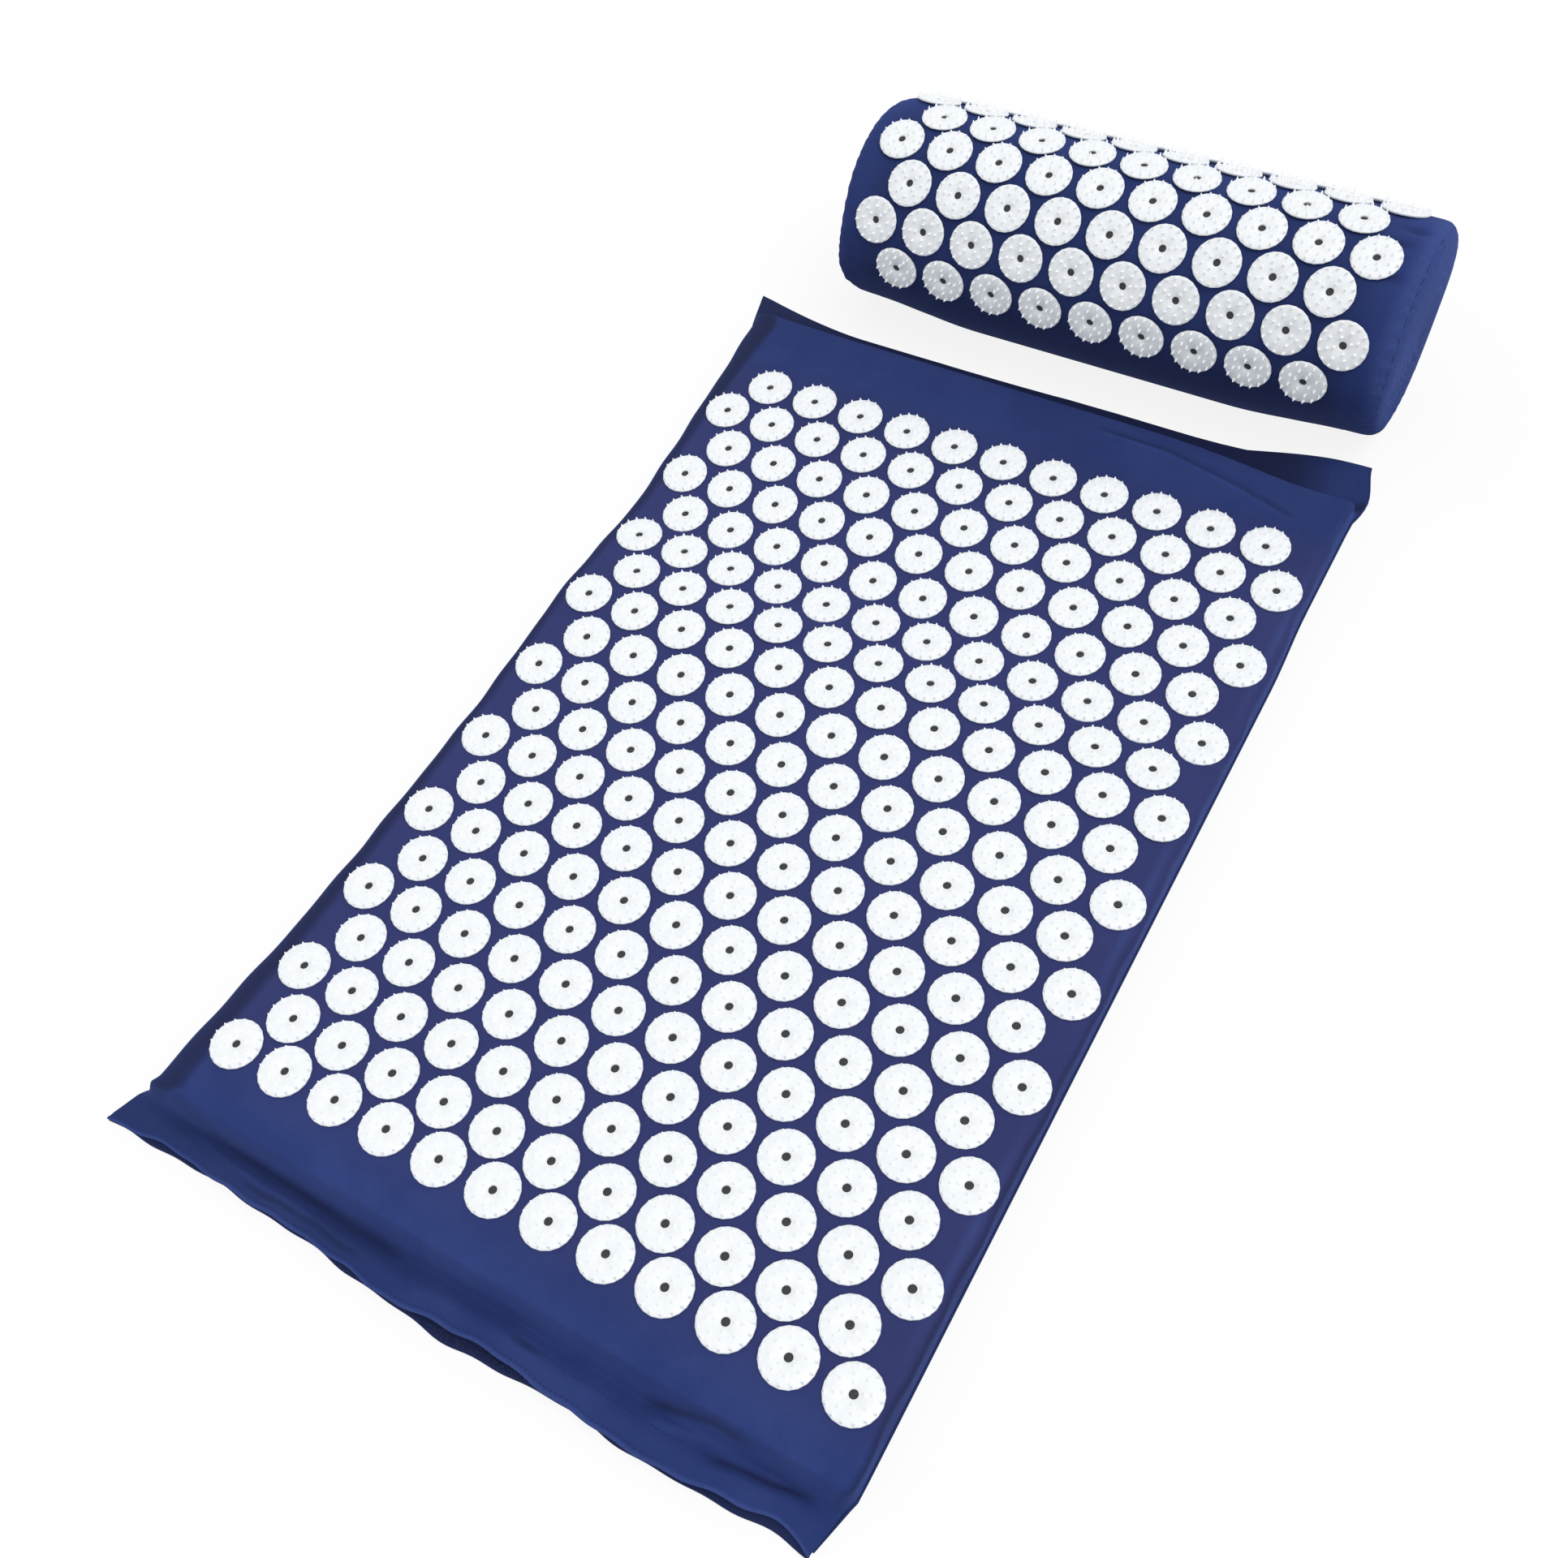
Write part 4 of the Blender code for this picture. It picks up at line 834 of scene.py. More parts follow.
def disc_row(name, seats, body, *nodes):
    """One row of discs, each turned further about its own axis than the last."""
    places = []
    for number, seat in enumerate(seats, start=len(name)):
        places.append(seat @ Matrix.Rotation(DISC_TURN * number, 4, "Z"))
    row = joined_copies(disc, places, name)
    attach(row, body)
    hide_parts(*nodes)


for k in range(MAT_ROWS):
    count = 12 - k % 2
    v = (k - (MAT_ROWS - 1) / 2) * MAT_ROW_PITCH
    drift = FIELD_DRIFT - FIELD_BOW * (v / FOAM_FAR) ** 2
    us = [(place - (count - 1) / 2) * COLUMN_PITCH + drift for place in range(count)]
    v += FIRST_ROW_DRAWN if k == 0 else 0
    disc_row(f"mat_discs_row_{k + 1:02d}", [disc_seat(mat_cover, u, v) for u in us], "mat", "mat_top_panel")

# The seam round the mat is the overlocked edge where top and base cloth meet: a thin roll of navy
# thread up the left side, across the far end and down the right side.
SEAM_RADIUS = 0.0009
SEAM_OUT = 0.0003
FINE_WELD = 0.00001
WRAP_PITCH = 0.0016
WRAP_RELIEF = 0.0003


def tube(name, route, radius, sides=8):
    """A round thread along a route, as a mesh."""
    line = bpy.data.curves.new(name, "CURVE")
    line.dimensions = "3D"
    spline = line.splines.new("POLY")
    spline.points.add(len(route) - 1)
    for point, place in zip(spline.points, route):
        point.co = (*place, 1.0)
    line.bevel_depth = radius
    line.bevel_resolution = sides // 4
    line.use_fill_caps = True
    made = bpy.data.objects.new(name, line)
    bpy.context.scene.collection.objects.link(made)
    pick(made)
    bpy.ops.object.convert(target="MESH")
    made = bpy.context.object
    weld(made, FINE_WELD)
    soften(made, 60)
    return made


side_vs = stations(
    MOUTH_Y, (FOAM_NEAR - NEAR_FALL, 6), (FOAM_NEAR, 8), (FOAM_FAR, 60), (FOAM_FAR + FAR_FALL, 8),
    (TAIL_FAR_Y, 7),
)
far_us = stations(-REACH_LEFT, (-TAIL_BEND, 10), (TAIL_BEND, 16), (REACH_RIGHT, 14))
edge_line = [loose_base(-REACH_LEFT, v, 0) for v in side_vs]
edge_line += [loose_base(u, TAIL_FAR_Y, 0) for u in far_us[1:-1]]
edge_line += [loose_base(REACH_RIGHT, v, 0) for v in reversed(side_vs)]
seam_line = []
for k, point in enumerate(edge_line):
    before, after = edge_line[max(k - 1, 0)], edge_line[min(k + 1, len(edge_line) - 1)]
    along = (after - point).normalized() + (point - before).normalized()
    along.normalize()
    seam_line.append(point + Vector((-along.y, along.x, 0)) * SEAM_OUT + Vector((0, 0, SEAM_RADIUS)))
seam = tube("mat_seam_thread", seam_line, SEAM_RADIUS)
thread = Finish("navy thread", (0.018, 0.034, 0.130), 0.8)
thread_x, thread_y, thread_z = thread.parts()
wraps = thread.math("SINE", (thread_x + thread_y + thread_z) * (2 * math.pi / WRAP_PITCH))
thread.tones(wraps, -0.6, 0.8, (0.012, 0.022, 0.085), (0.024, 0.044, 0.165))
thread.fuzz(0.15, 0.2)
thread.bump(wraps, WRAP_RELIEF, 0.6)
seam.data.materials.append(thread.material)
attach(seam, "mat")
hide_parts("mat_seam")

# The opening closes with hook-and-loop strips: the loop strip is sewn under the upper hem and the hook
# strip on the lower lip. They lie open, as in the photograph.
STRIP_WIDTH = 0.012
STRIP_THICKNESS = 0.0012
STRIP_GAP = 0.0003
STRIP_EDGE = 0.0003
HEM = 0.002
TUFT_RELIEF = 0.0004

nap = Finish("navy hook and loop", (0.020, 0.028, 0.090), 0.95)
tufts = nap.cells(1100)
nap.tones(tufts, 0.1, 0.6, (0.030, 0.040, 0.120), (0.012, 0.018, 0.060))
nap.fuzz(0.1, 0.4)
nap.bump(tufts, TUFT_RELIEF, 1.0)


def strip(name, first_v, surface, height, node):
    """A strip across the mouth, laid on a surface at a height from it."""
    columns = stations(-TAIL_BEND, (TAIL_BEND, 44))
    rows = stations(first_v, (first_v + STRIP_WIDTH, 4))
    made = laid_grid(name, columns, rows, lambda u, v: surface(u, v, height))
    use_modifier(made, "SOLIDIFY", thickness=STRIP_THICKNESS, offset=-1)
    round_edges(made, STRIP_EDGE, 2)
    soften(made)
    made.data.materials.append(nap.material)
    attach(made, "mat")
    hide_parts(node)
    return made


loop_strip = strip("mat_loop_tape", MOUTH_Y + CLOTH, loose_cover, -(HEM + STRIP_GAP), "mat_loop_strip")
hook_strip = strip(
    "mat_hook_tape", LOWER_LIP_Y + CLOTH, loose_base, HEM + STRIP_GAP + STRIP_THICKNESS, "mat_hook_strip",
)

# The pillow's cover is the same cotton, sewn as a tube with two rounded ends and drawn over a foam roll.
# It stands on a narrow foot that its weight presses flat. Cloth simulation under a little pressure
# draws the cover tight between its seams.
PILLOW_ROW_SHARE = 0.803
PILLOW_ROW_PITCH = PILLOW_ROW_SHARE * COLUMN_PITCH
PILLOW_ROWS_ROUND = 16
PILLOW_LONG_ROW = 10
PILLOW_X = 0.012
PILLOW_RADIUS = PILLOW_ROW_PITCH * PILLOW_ROWS_ROUND / (2 * math.pi)
FOOT_SINK = 0.0065
PILLOW_AXIS_HEIGHT = PILLOW_RADIUS - FOOT_SINK
PILLOW_GAP = 0.0035
PILLOW_Y = TAIL_FAR_Y + PILLOW_GAP + PILLOW_RADIUS
PILLOW_AXIS = (PILLOW_X, PILLOW_Y, PILLOW_AXIS_HEIGHT)
END_BLANK = 0.0162
PILLOW_LENGTH = (PILLOW_LONG_ROW - 1) * COLUMN_PITCH + 2 * (DISC_RADIUS + END_BLANK)
PILLOW_CORNER = 0.025
PILLOW_LOW_CORNER = 0.012
PILLOW_LOW_TAPER = 0.005
TAPER_FROM = 0.09
TAPER_RUN = 0.08
LOW_FROM = 0.1
LOW_RUN = 0.6
LEFT_END_PULL = 0.004
LEFT_PULL_FROM = 0.15
LEFT_PULL_TOP = 0.65
LEFT_PULL_FALL = 0.9
RIGHT_END_PULL = 0.0060
RIGHT_PULL_FROM = 0.16
RIGHT_PULL_FOOT = 0.75
RIGHT_PULL_RISE = 1.3
PULL_RUN = 0.02
RIGHT_CORNER = 0.014
PILLOW_STRAIGHT = PILLOW_LENGTH / 2 - PILLOW_CORNER
END_CROWN = 0.0025
END_STEPS = 6
ROLL_WELD = 0.0001
END_SEAM_ANGLE = math.radians(45)
FRONT_SEAM_ANGLE = math.radians(-52)
ZIP_ANGLE = math.radians(170)
ZIP_SLOT = 0.0124
ZIP_LEFT = -0.147 - PILLOW_X
ZIP_RIGHT = 0.171 - PILLOW_X
ZIP_DEPTH = 0.0022
SLOT_FOLD = 0.0006
SLOT_END_FOLD = 0.0008
SLOT_END_INSIDE = 0.0007
SLOT_EDGE_REACH = 0.0001
SLOT_CUT_PAST = 0.004
SLOT_END_REACH = 0.012
SEAM_HOLD = 0.002
ZIP_HOLD_PAST = 0.02
HOLD_FADE = 0.008
FLOOR_HOLD = 0.0006
FLOOR_FADE = 0.004
SLACK = 0.0025
CLOTH_GRAIN = 0.005
CLOTH_FRAMES = 20
CLOTH_LIMIT = 0.0036
PUCKER = 0.0003
PUCKER_FROM_SEAM = 0.004
PUCKER_WIDTH = 0.004
PUCKERS_ROUND = 46
PUCKER_DRIFTS_ROUND = 5
DENTS = (
    (0.170, 98, 0.008, 0.0032, 0.0020), (0.165, 86, 0.007, 0.0028, 0.0017),
    (0.161, 76, 0.007, 0.0028, 0.0019), (0.167, 66, 0.008, 0.0035, 0.0015),
)
# The values below paint light and shade into the pillow cover's colour: light on the right end, shade in the
# dents, among the discs and low in front.
DENT_SHADE = 250
LIT_END_SHARE = 0.75
LIT_END_FROM = 0.171
LIT_END_RUN = 0.012
LIT_END_FOOT = 1.1
FRONT_FROM = 0.8
AMONG_SHADE_SHARE = 0.40
AMONG_RIGHT = 0.150
AMONG_RIGHT_RUN = 0.02
AMONG_LEFT = 0.152
AMONG_LEFT_RUN = 0.015
AMONG_LEFT_LIGHT_SHARE = 0.7
LOW_SHADE_SHARE = 0.55
LOW_SHADE_TOP = 0.45
LOW_SHADE_FALL = 0.95


def end_pull(x, angle):
    """How far an end is drawn along the roll: the left end low down, the right end towards its top."""
    up = math.sin(angle)
    left = LEFT_END_PULL * smooth((LEFT_PULL_TOP - up) / LEFT_PULL_FALL)
    right = RIGHT_END_PULL * (0.5 + 0.5 * smooth((up + RIGHT_PULL_FOOT) / RIGHT_PULL_RISE))
    from_right = right * smooth((x - RIGHT_PULL_FROM) / PULL_RUN)
    return from_right - left * smooth((-x - LEFT_PULL_FROM) / PULL_RUN)


def lowness(angle):
    """Nothing over the top of the roll, and one at its foot."""
    return smooth((LOW_FROM - math.sin(angle)) / LOW_RUN)


def corner_radius(x, angle):
    """How far the cover curves over at an end of the roll, tighter at the foot."""
    upper = RIGHT_CORNER if x > 0 else PILLOW_CORNER
    return upper + (PILLOW_LOW_CORNER - upper) * lowness(angle)


def settled(x, radius, angle, h):
    """Moves a point of the plain roll to where the cover lies: its lower corners are tighter and drawn in."""
    corner = corner_radius(x, angle)
    taper = PILLOW_LOW_TAPER * lowness(angle) * smooth((abs(x) - TAPER_FROM) / TAPER_RUN)
    if abs(x) <= PILLOW_STRAIGHT:
        return x, radius - taper
    face = PILLOW_RADIUS - PILLOW_CORNER
    low_face = PILLOW_RADIUS - taper - corner
    if radius <= face:
        from_middle = radius / face
        pull = end_pull(x, 0.0) + (end_pull(x, angle) - end_pull(x, 0.0)) * from_middle
        return x + pull, radius * (face + (low_face - face) * from_middle) / face
    straight = PILLOW_LENGTH / 2 - corner
    level = straight - PILLOW_STRAIGHT
    run = math.atan2(abs(x) - PILLOW_STRAIGHT, radius - face) / (math.pi / 2) * (level + corner * math.pi / 2)
    if run <= level:
        out, across = PILLOW_STRAIGHT + run, low_face + corner + h
    else:
        bend = (run - level) / corner
        out, across = straight + (corner + h) * math.sin(bend), low_face + (corner + h) * math.cos(bend)
    out = math.copysign(out, x)
    return out + end_pull(out, angle), across


def roll_point(x, radius, angle, h):
    """Where a point of the plain roll lies, with its foot pressed flat on the floor."""
    x, radius = settled(x, radius, angle, h)
    y = PILLOW_Y - radius * math.cos(angle)
    z = PILLOW_AXIS_HEIGHT + radius * math.sin(angle)
    return Vector((PILLOW_X + x, y, max(z, -h)))


def pillow_cover(u, v, h):
    """Where the roll's cover lies: u along it, v round it from the front, and h out from its face."""
    past = max(abs(u) - PILLOW_STRAIGHT, 0.0)
    turn = past / PILLOW_CORNER
    out = PILLOW_STRAIGHT + (PILLOW_CORNER + h) * math.sin(turn)
    radius = PILLOW_RADIUS - PILLOW_CORNER + (PILLOW_CORNER + h) * math.cos(turn)
    return roll_point(math.copysign(out, u) if past else u, radius, v / PILLOW_RADIUS, h)


def roll_angle(place):
    """The angle of a place round the roll: nothing at the front, rising over the top."""
    return math.atan2(place.z - PILLOW_AXIS_HEIGHT, PILLOW_Y - place.y)


def roll_profile(h, corner_steps, straight_steps):
    """The roll's outline from one end's middle to the other's, as distance along and from the axis."""
    face = PILLOW_RADIUS - PILLOW_CORNER
    corner = PILLOW_CORNER + h
    turns = [math.pi / 2 * k / corner_steps for k in range(corner_steps + 1)]
    right = [(PILLOW_STRAIGHT + corner * math.sin(turn), face + corner * math.cos(turn)) for turn in turns]
    for k in range(1, END_STEPS + 1):
        share = 1 - k / END_STEPS
        right.append((PILLOW_LENGTH / 2 + h + END_CROWN * (1 - share * share), face * share))
    shares = [2 * k / straight_steps - 1 for k in range(1, straight_steps)]
    straight = [(PILLOW_STRAIGHT * share, PILLOW_RADIUS + h) for share in shares]
    return [(-x, r) for x, r in reversed(right)] + straight + right


def spun_roll(name, h, corner_steps, straight_steps, steps):
    """A closed roll: its outline spun once round the pillow's axis, then settled on the floor."""
    outline = roll_profile(h, corner_steps, straight_steps)
    data = bpy.data.meshes.new(name)
    points = [(PILLOW_X + x, PILLOW_Y, PILLOW_AXIS_HEIGHT + r) for x, r in outline]
    data.from_pydata(points, [(k, k + 1) for k in range(len(points) - 1)], [])
    made = bpy.data.objects.new(name, data)
    bpy.context.scene.collection.objects.link(made)
    edit(made, bpy.ops.mesh.spin, steps=steps, angle=2 * math.pi, center=PILLOW_AXIS, axis=(1, 0, 0))
    weld(made, ROLL_WELD)
    for vert in data.vertices:
        radius = math.hypot(vert.co.y - PILLOW_Y, vert.co.z - PILLOW_AXIS_HEIGHT)
        vert.co = roll_point(vert.co.x - PILLOW_X, radius, roll_angle(vert.co), h)
    return made


def end_seam(x, angle):
    """Where the nearer end seam runs: from the roll's plain end, and from its axis."""
    corner = corner_radius(x, angle)
    seam_out = corner * (math.sin(END_SEAM_ANGLE) - 1)
    taper = PILLOW_LOW_TAPER * lowness(angle)
    return seam_out, PILLOW_RADIUS - taper + corner * (math.cos(END_SEAM_ANGLE) - 1)


def end_seam_gap(place):
    """How far a place on the cover lies from the nearer end seam."""
    angle = roll_angle(place)
    x = place.x - PILLOW_X
    out = abs(x - end_pull(x, angle)) - PILLOW_LENGTH / 2
    radius = math.hypot(place.y - PILLOW_Y, place.z - PILLOW_AXIS_HEIGHT)
    seam_out, seam_radius = end_seam(x, angle)
    return math.hypot(out - seam_out, radius - seam_radius)


def long_gap(place, angle):
    """How far a place on the cover lies from a line along the roll at an angle."""
    apart = roll_angle(place) - angle
    return PILLOW_RADIUS * abs(math.atan2(math.sin(apart), math.cos(apart)))


def held_share(place):
    """One where a seam, the zip or the floor holds the cover."""
    holds = [
        1 - smooth((end_seam_gap(place) - SEAM_HOLD) / HOLD_FADE),
        1 - smooth((long_gap(place, FRONT_SEAM_ANGLE) - SEAM_HOLD) / HOLD_FADE),
        1 - smooth((place.z - FLOOR_HOLD) / FLOOR_FADE),
    ]
    if ZIP_LEFT - ZIP_HOLD_PAST < place.x - PILLOW_X < ZIP_RIGHT + ZIP_HOLD_PAST:
        holds.append(1 - smooth((long_gap(place, ZIP_ANGLE) - ZIP_SLOT) / HOLD_FADE))
    return max(holds)


def push_out(made, distance):
    """Moves every point along its normal by a distance that depends on its place."""
    normals = [vert.normal.copy() for vert in made.data.vertices]
    for vert, normal in zip(made.data.vertices, normals):
        vert.co += normal * distance(vert.co)


def dent(place):
    """How deep the four short dents lie at a place."""
    depth = 0.0
    for x, turn, length, width, deepest in DENTS:
        across = (place.x - PILLOW_X - x) / length
        around = PILLOW_RADIUS * (roll_angle(place) - math.radians(turn)) / width
        depth += deepest * math.exp(-across * across - around * around)
    return depth


def gathers(place):
    """Small puckers along the end seams, and four short dents in the cloth above the right end."""
    angle = roll_angle(place)
    near_seam = math.exp(-(((end_seam_gap(place) - PUCKER_FROM_SEAM) / PUCKER_WIDTH) ** 2))
    turn = angle * PUCKERS_ROUND + 2 * math.sin(angle * PUCKER_DRIFTS_ROUND)
    return PUCKER * near_seam * math.sin(turn) - dent(place)


def puff(made):
    """Simulates the cover as cloth under light pressure, held at its seams, and rounds its mesh."""
    push_out(made, lambda place: -SLACK * (1 - held_share(place)))
    use_modifier(made, "REMESH", mode="VOXEL", voxel_size=CLOTH_GRAIN)
    use_modifier(made, "SMOOTH", factor=0.5, iterations=4)
    start = [vert.co.copy() for vert in made.data.vertices]
    group = made.vertex_groups.new(name="held")
    for vert in made.data.vertices:
        group.add([vert.index], held_share(vert.co), "REPLACE")
    cloth = made.modifiers.new("Cloth", "CLOTH")
    cloth.settings.quality = 5
    cloth.settings.mass = 0.3
    cloth.settings.tension_stiffness = 15
    cloth.settings.compression_stiffness = 15
    cloth.settings.shear_stiffness = 5
    cloth.settings.bending_stiffness = 0.5
    cloth.settings.use_pressure = True
    cloth.settings.uniform_pressure_force = 4
    cloth.settings.vertex_group_mass = "held"
    cloth.settings.effector_weights.gravity = 0
    cloth.point_cache.frame_start = 1
    cloth.point_cache.frame_end = CLOTH_FRAMES
    for number in range(1, CLOTH_FRAMES + 1):
        bpy.context.scene.frame_set(number)
    blown = made.evaluated_get(bpy.context.evaluated_depsgraph_get()).to_mesh()
    ends = [vert.co.copy() for vert in blown.vertices]
    made.modifiers.remove(cloth)
    made.vertex_groups.remove(group)
    bpy.context.scene.frame_set(1)
    for vert, first, last in zip(made.data.vertices, start, ends):
        step = last - first
        vert.co = first + step * min(1.0, CLOTH_LIMIT / max(step.length, CLOTH_LIMIT / 100))
    use_modifier(made, "SUBSURF", levels=1, render_levels=1)
    use_modifier(made, "SMOOTH", factor=0.5, iterations=4)
    push_out(made, gathers)
    for vert in made.data.vertices:
        vert.co.z = max(vert.co.z, 0.0)


def cut(made, chosen, point, normal):
    """Cuts a plane into the faces whose middles are chosen."""
    for polygon in made.data.polygons:
        polygon.select = chosen(polygon.center)
    bpy.ops.object.mode_set(mode="EDIT")
    bpy.ops.mesh.bisect(plane_co=point, plane_no=normal)
    bpy.ops.object.mode_set(mode="OBJECT")


def near_slot(middle):
    in_reach = ZIP_LEFT - SLOT_CUT_PAST < middle.x - PILLOW_X < ZIP_RIGHT + SLOT_CUT_PAST
    return in_reach and long_gap(middle, ZIP_ANGLE) < 2 * ZIP_SLOT


def near_slot_end(middle, end):
    beside = abs(middle.x - PILLOW_X - end) < SLOT_END_REACH
    return beside and long_gap(middle, ZIP_ANGLE) < ZIP_SLOT


def cut_zip_slot(made):
    """Cuts the slot's borders into the back of a roll and presses the strip between them in."""
    pick(made)
    half = ZIP_SLOT / 2 / PILLOW_RADIUS
    fold = SLOT_FOLD / PILLOW_RADIUS
    for angle in (ZIP_ANGLE - half - fold, ZIP_ANGLE - half, ZIP_ANGLE + half, ZIP_ANGLE + half + fold):
        cut(made, near_slot, PILLOW_AXIS, (0, math.sin(angle), math.cos(angle)))
    for end in (ZIP_LEFT, ZIP_LEFT + SLOT_END_FOLD, ZIP_RIGHT - SLOT_END_FOLD, ZIP_RIGHT):
        cut(made, lambda middle: near_slot_end(middle, end), (PILLOW_X + end, 0, 0), (1, 0, 0))
    for vert in made.data.vertices:
        inside = ZIP_LEFT + SLOT_END_INSIDE < vert.co.x - PILLOW_X < ZIP_RIGHT - SLOT_END_INSIDE
        if inside and long_gap(vert.co, ZIP_ANGLE) < ZIP_SLOT / 2 + SLOT_EDGE_REACH:
            centre = Vector((vert.co.x, PILLOW_Y, PILLOW_AXIS_HEIGHT))
            vert.co += (centre - vert.co).normalized() * ZIP_DEPTH


def roll_painted_tones(place):
    """Above nothing where light is painted on the right end, and below it where shade is painted among the
    discs, low in front and in the dents.
    """
    up = (place.z - PILLOW_AXIS_HEIGHT) / PILLOW_RADIUS
    along = place.x - PILLOW_X
    lit_end = LIT_END_SHARE * smooth((along - LIT_END_FROM) / LIT_END_RUN) * smooth(LIT_END_FOOT + up)
    front = smooth(FRONT_FROM + (PILLOW_Y - place.y) / PILLOW_RADIUS)
    among = AMONG_SHADE_SHARE * (1 - smooth((along - AMONG_RIGHT) / AMONG_RIGHT_RUN))
    among *= 1 - AMONG_LEFT_LIGHT_SHARE * smooth((-along - AMONG_LEFT) / AMONG_LEFT_RUN)
    low = LOW_SHADE_SHARE * smooth((LOW_SHADE_TOP - up) / LOW_SHADE_FALL)
    return lit_end - DENT_SHADE * dent(place) - front * (among + low)


shell = spun_roll("pillow_cover", 0.0, 8, 60, 120)
puff(shell)
shell_faces = BVHTree.FromPolygons(
    [vert.co for vert in shell.data.vertices], [list(face.vertices) for face in shell.data.polygons],
)
cut_zip_slot(shell)
soften(shell, 50)
# Each point of the cover notes its painted light and painted shade.
shade = shell.data.attributes.new("painted_light_and_shade", "FLOAT", "POINT")
for vert in shell.data.vertices:
    shade.data[vert.index].value = roll_painted_tones(vert.co)
pillow_cloth = Finish("navy cotton, pillow", NAVY, 0.88)
roll_x, roll_y, roll_z = pillow_cloth.parts()
roll_turn = pillow_cloth.math("ARCTAN2", roll_z - PILLOW_AXIS_HEIGHT, PILLOW_Y - roll_y)
woven(pillow_cloth, roll_x, roll_turn * PILLOW_RADIUS, 0.0)
shell.data.materials.append(pillow_cloth.material)
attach(shell, "pillow")
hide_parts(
    "pillow_top_panel", "pillow_base_panel", "pillow_left_end", "pillow_right_end", "zip_left_tab",
    "zip_right_tab",
)

# The roll inside the pillow is the same foam as the mat's slab. It is spun like the cover, a few
# millimetres smaller, and sealed in by it.
PILLOW_FOAM_INSET = 0.0058

pillow_foam = spun_roll("pillow_foam", -PILLOW_FOAM_INSET, 4, 16, 64)
soften(pillow_foam, 50)
pillow_foam.data.materials.append(foam_finish.material)
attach(pillow_foam, "pillow")
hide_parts("pillow_foam_core")

# The pillow carries seven rows of the same discs, nine and ten in turn, from its front over its top.
# Each disc is bonded to the cover where a line along its own axis meets the cloth.
PILLOW_ROWS = 7
FIRST_ROW_ANGLE = math.radians(6.9)
FRONT_ROW_DROP = 0.0022
PILLOW_FIELD_SHIFT = 0.003
SEAT_SEARCH_FROM = 0.01
SEAT_SEARCH_RUN = 0.03
SEAT_SINK = 0.0001


def seat_on_cover(seat):
    """Moves a disc's frame along its normal onto the simulated cover."""
    normal = seat.to_3x3() @ Vector((0, 0, 1))
    outside = seat.translation + normal * SEAT_SEARCH_FROM
    hit, _, _, _ = shell_faces.ray_cast(outside, -normal, SEAT_SEARCH_RUN)
    lifted = seat.copy()
    lifted.translation = (hit or seat.translation) - normal * SEAT_SINK
    return lifted


for k in range(PILLOW_ROWS):
    count = PILLOW_LONG_ROW - 1 + k % 2
    v = FIRST_ROW_ANGLE * PILLOW_RADIUS + k * PILLOW_ROW_PITCH
    v -= FRONT_ROW_DROP if k == 0 else 0
    us = [(place - (count - 1) / 2) * COLUMN_PITCH + PILLOW_FIELD_SHIFT for place in range(count)]
    nodes = ["pillow_top_panel"]
    if k == 0:
        nodes = [f"pillow_disc_{number}" for number in range(1, count + 1)]
    seats = [seat_on_cover(disc_seat(pillow_cover, u, v)) for u in us]
    disc_row(f"pillow_discs_row_{k + 1}", seats, "pillow", *nodes)

# The cover's seams are rows of navy thread: one round each end, and one along the front where the top
# panel meets the base panel.
PILLOW_THREAD = 0.00035
THREAD_SINK_SHARE = 0.8
COVER_SEARCH_FROM = 0.02
COVER_SEARCH_RUN = 0.08
RING_STEPS = 96
RING_CENTRE_INSET = 0.02
FRONT_STEPS = 60
FRONT_SEAM_PAST = 0.004


def on_cover(place, centre):
    """Where a line from outside to a centre first meets the cover."""
    inward = (centre - place).normalized()
    hit, _, _, _ = shell_faces.ray_cast(place - inward * COVER_SEARCH_FROM, inward, COVER_SEARCH_RUN)
    return hit or place


def seam_ring(side):
    """The route of the thread round an end of the roll."""
    route = []
    centre = Vector((PILLOW_X + side * (PILLOW_STRAIGHT - RING_CENTRE_INSET), PILLOW_Y, PILLOW_AXIS_HEIGHT))
    for k in range(RING_STEPS + 1):
        angle = 2 * math.pi * k / RING_STEPS
        seam_out, radius = end_seam(side, angle)
        out = side * (PILLOW_LENGTH / 2 + seam_out)
        x = PILLOW_X + out + end_pull(out, angle)
        z = PILLOW_AXIS_HEIGHT + radius * math.sin(angle)
        found = on_cover(Vector((x, PILLOW_Y - radius * math.cos(angle), z)), centre)
        found += (centre - found).normalized() * PILLOW_THREAD * THREAD_SINK_SHARE
        found.z = max(found.z, PILLOW_THREAD)
        route.append(found)
    return route


front_route = []
for k in range(FRONT_STEPS + 1):
    along = (2 * k / FRONT_STEPS - 1) * (PILLOW_STRAIGHT + FRONT_SEAM_PAST)
    place = pillow_cover(along, FRONT_SEAM_ANGLE * PILLOW_RADIUS, 0.0)
    front_route.append(on_cover(place, Vector((place.x, PILLOW_Y, PILLOW_AXIS_HEIGHT))))
for name, route, node in (
    ("pillow_left_seam", seam_ring(-1), "pillow_left_end"),
    ("pillow_right_seam", seam_ring(1), "pillow_right_end"),
    ("pillow_front_seam", front_route, "pillow_base_panel"),
):
    line = tube(name, route, PILLOW_THREAD, 4)
    line.data.materials.append(thread.material)
    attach(line, "pillow")
    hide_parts(node)

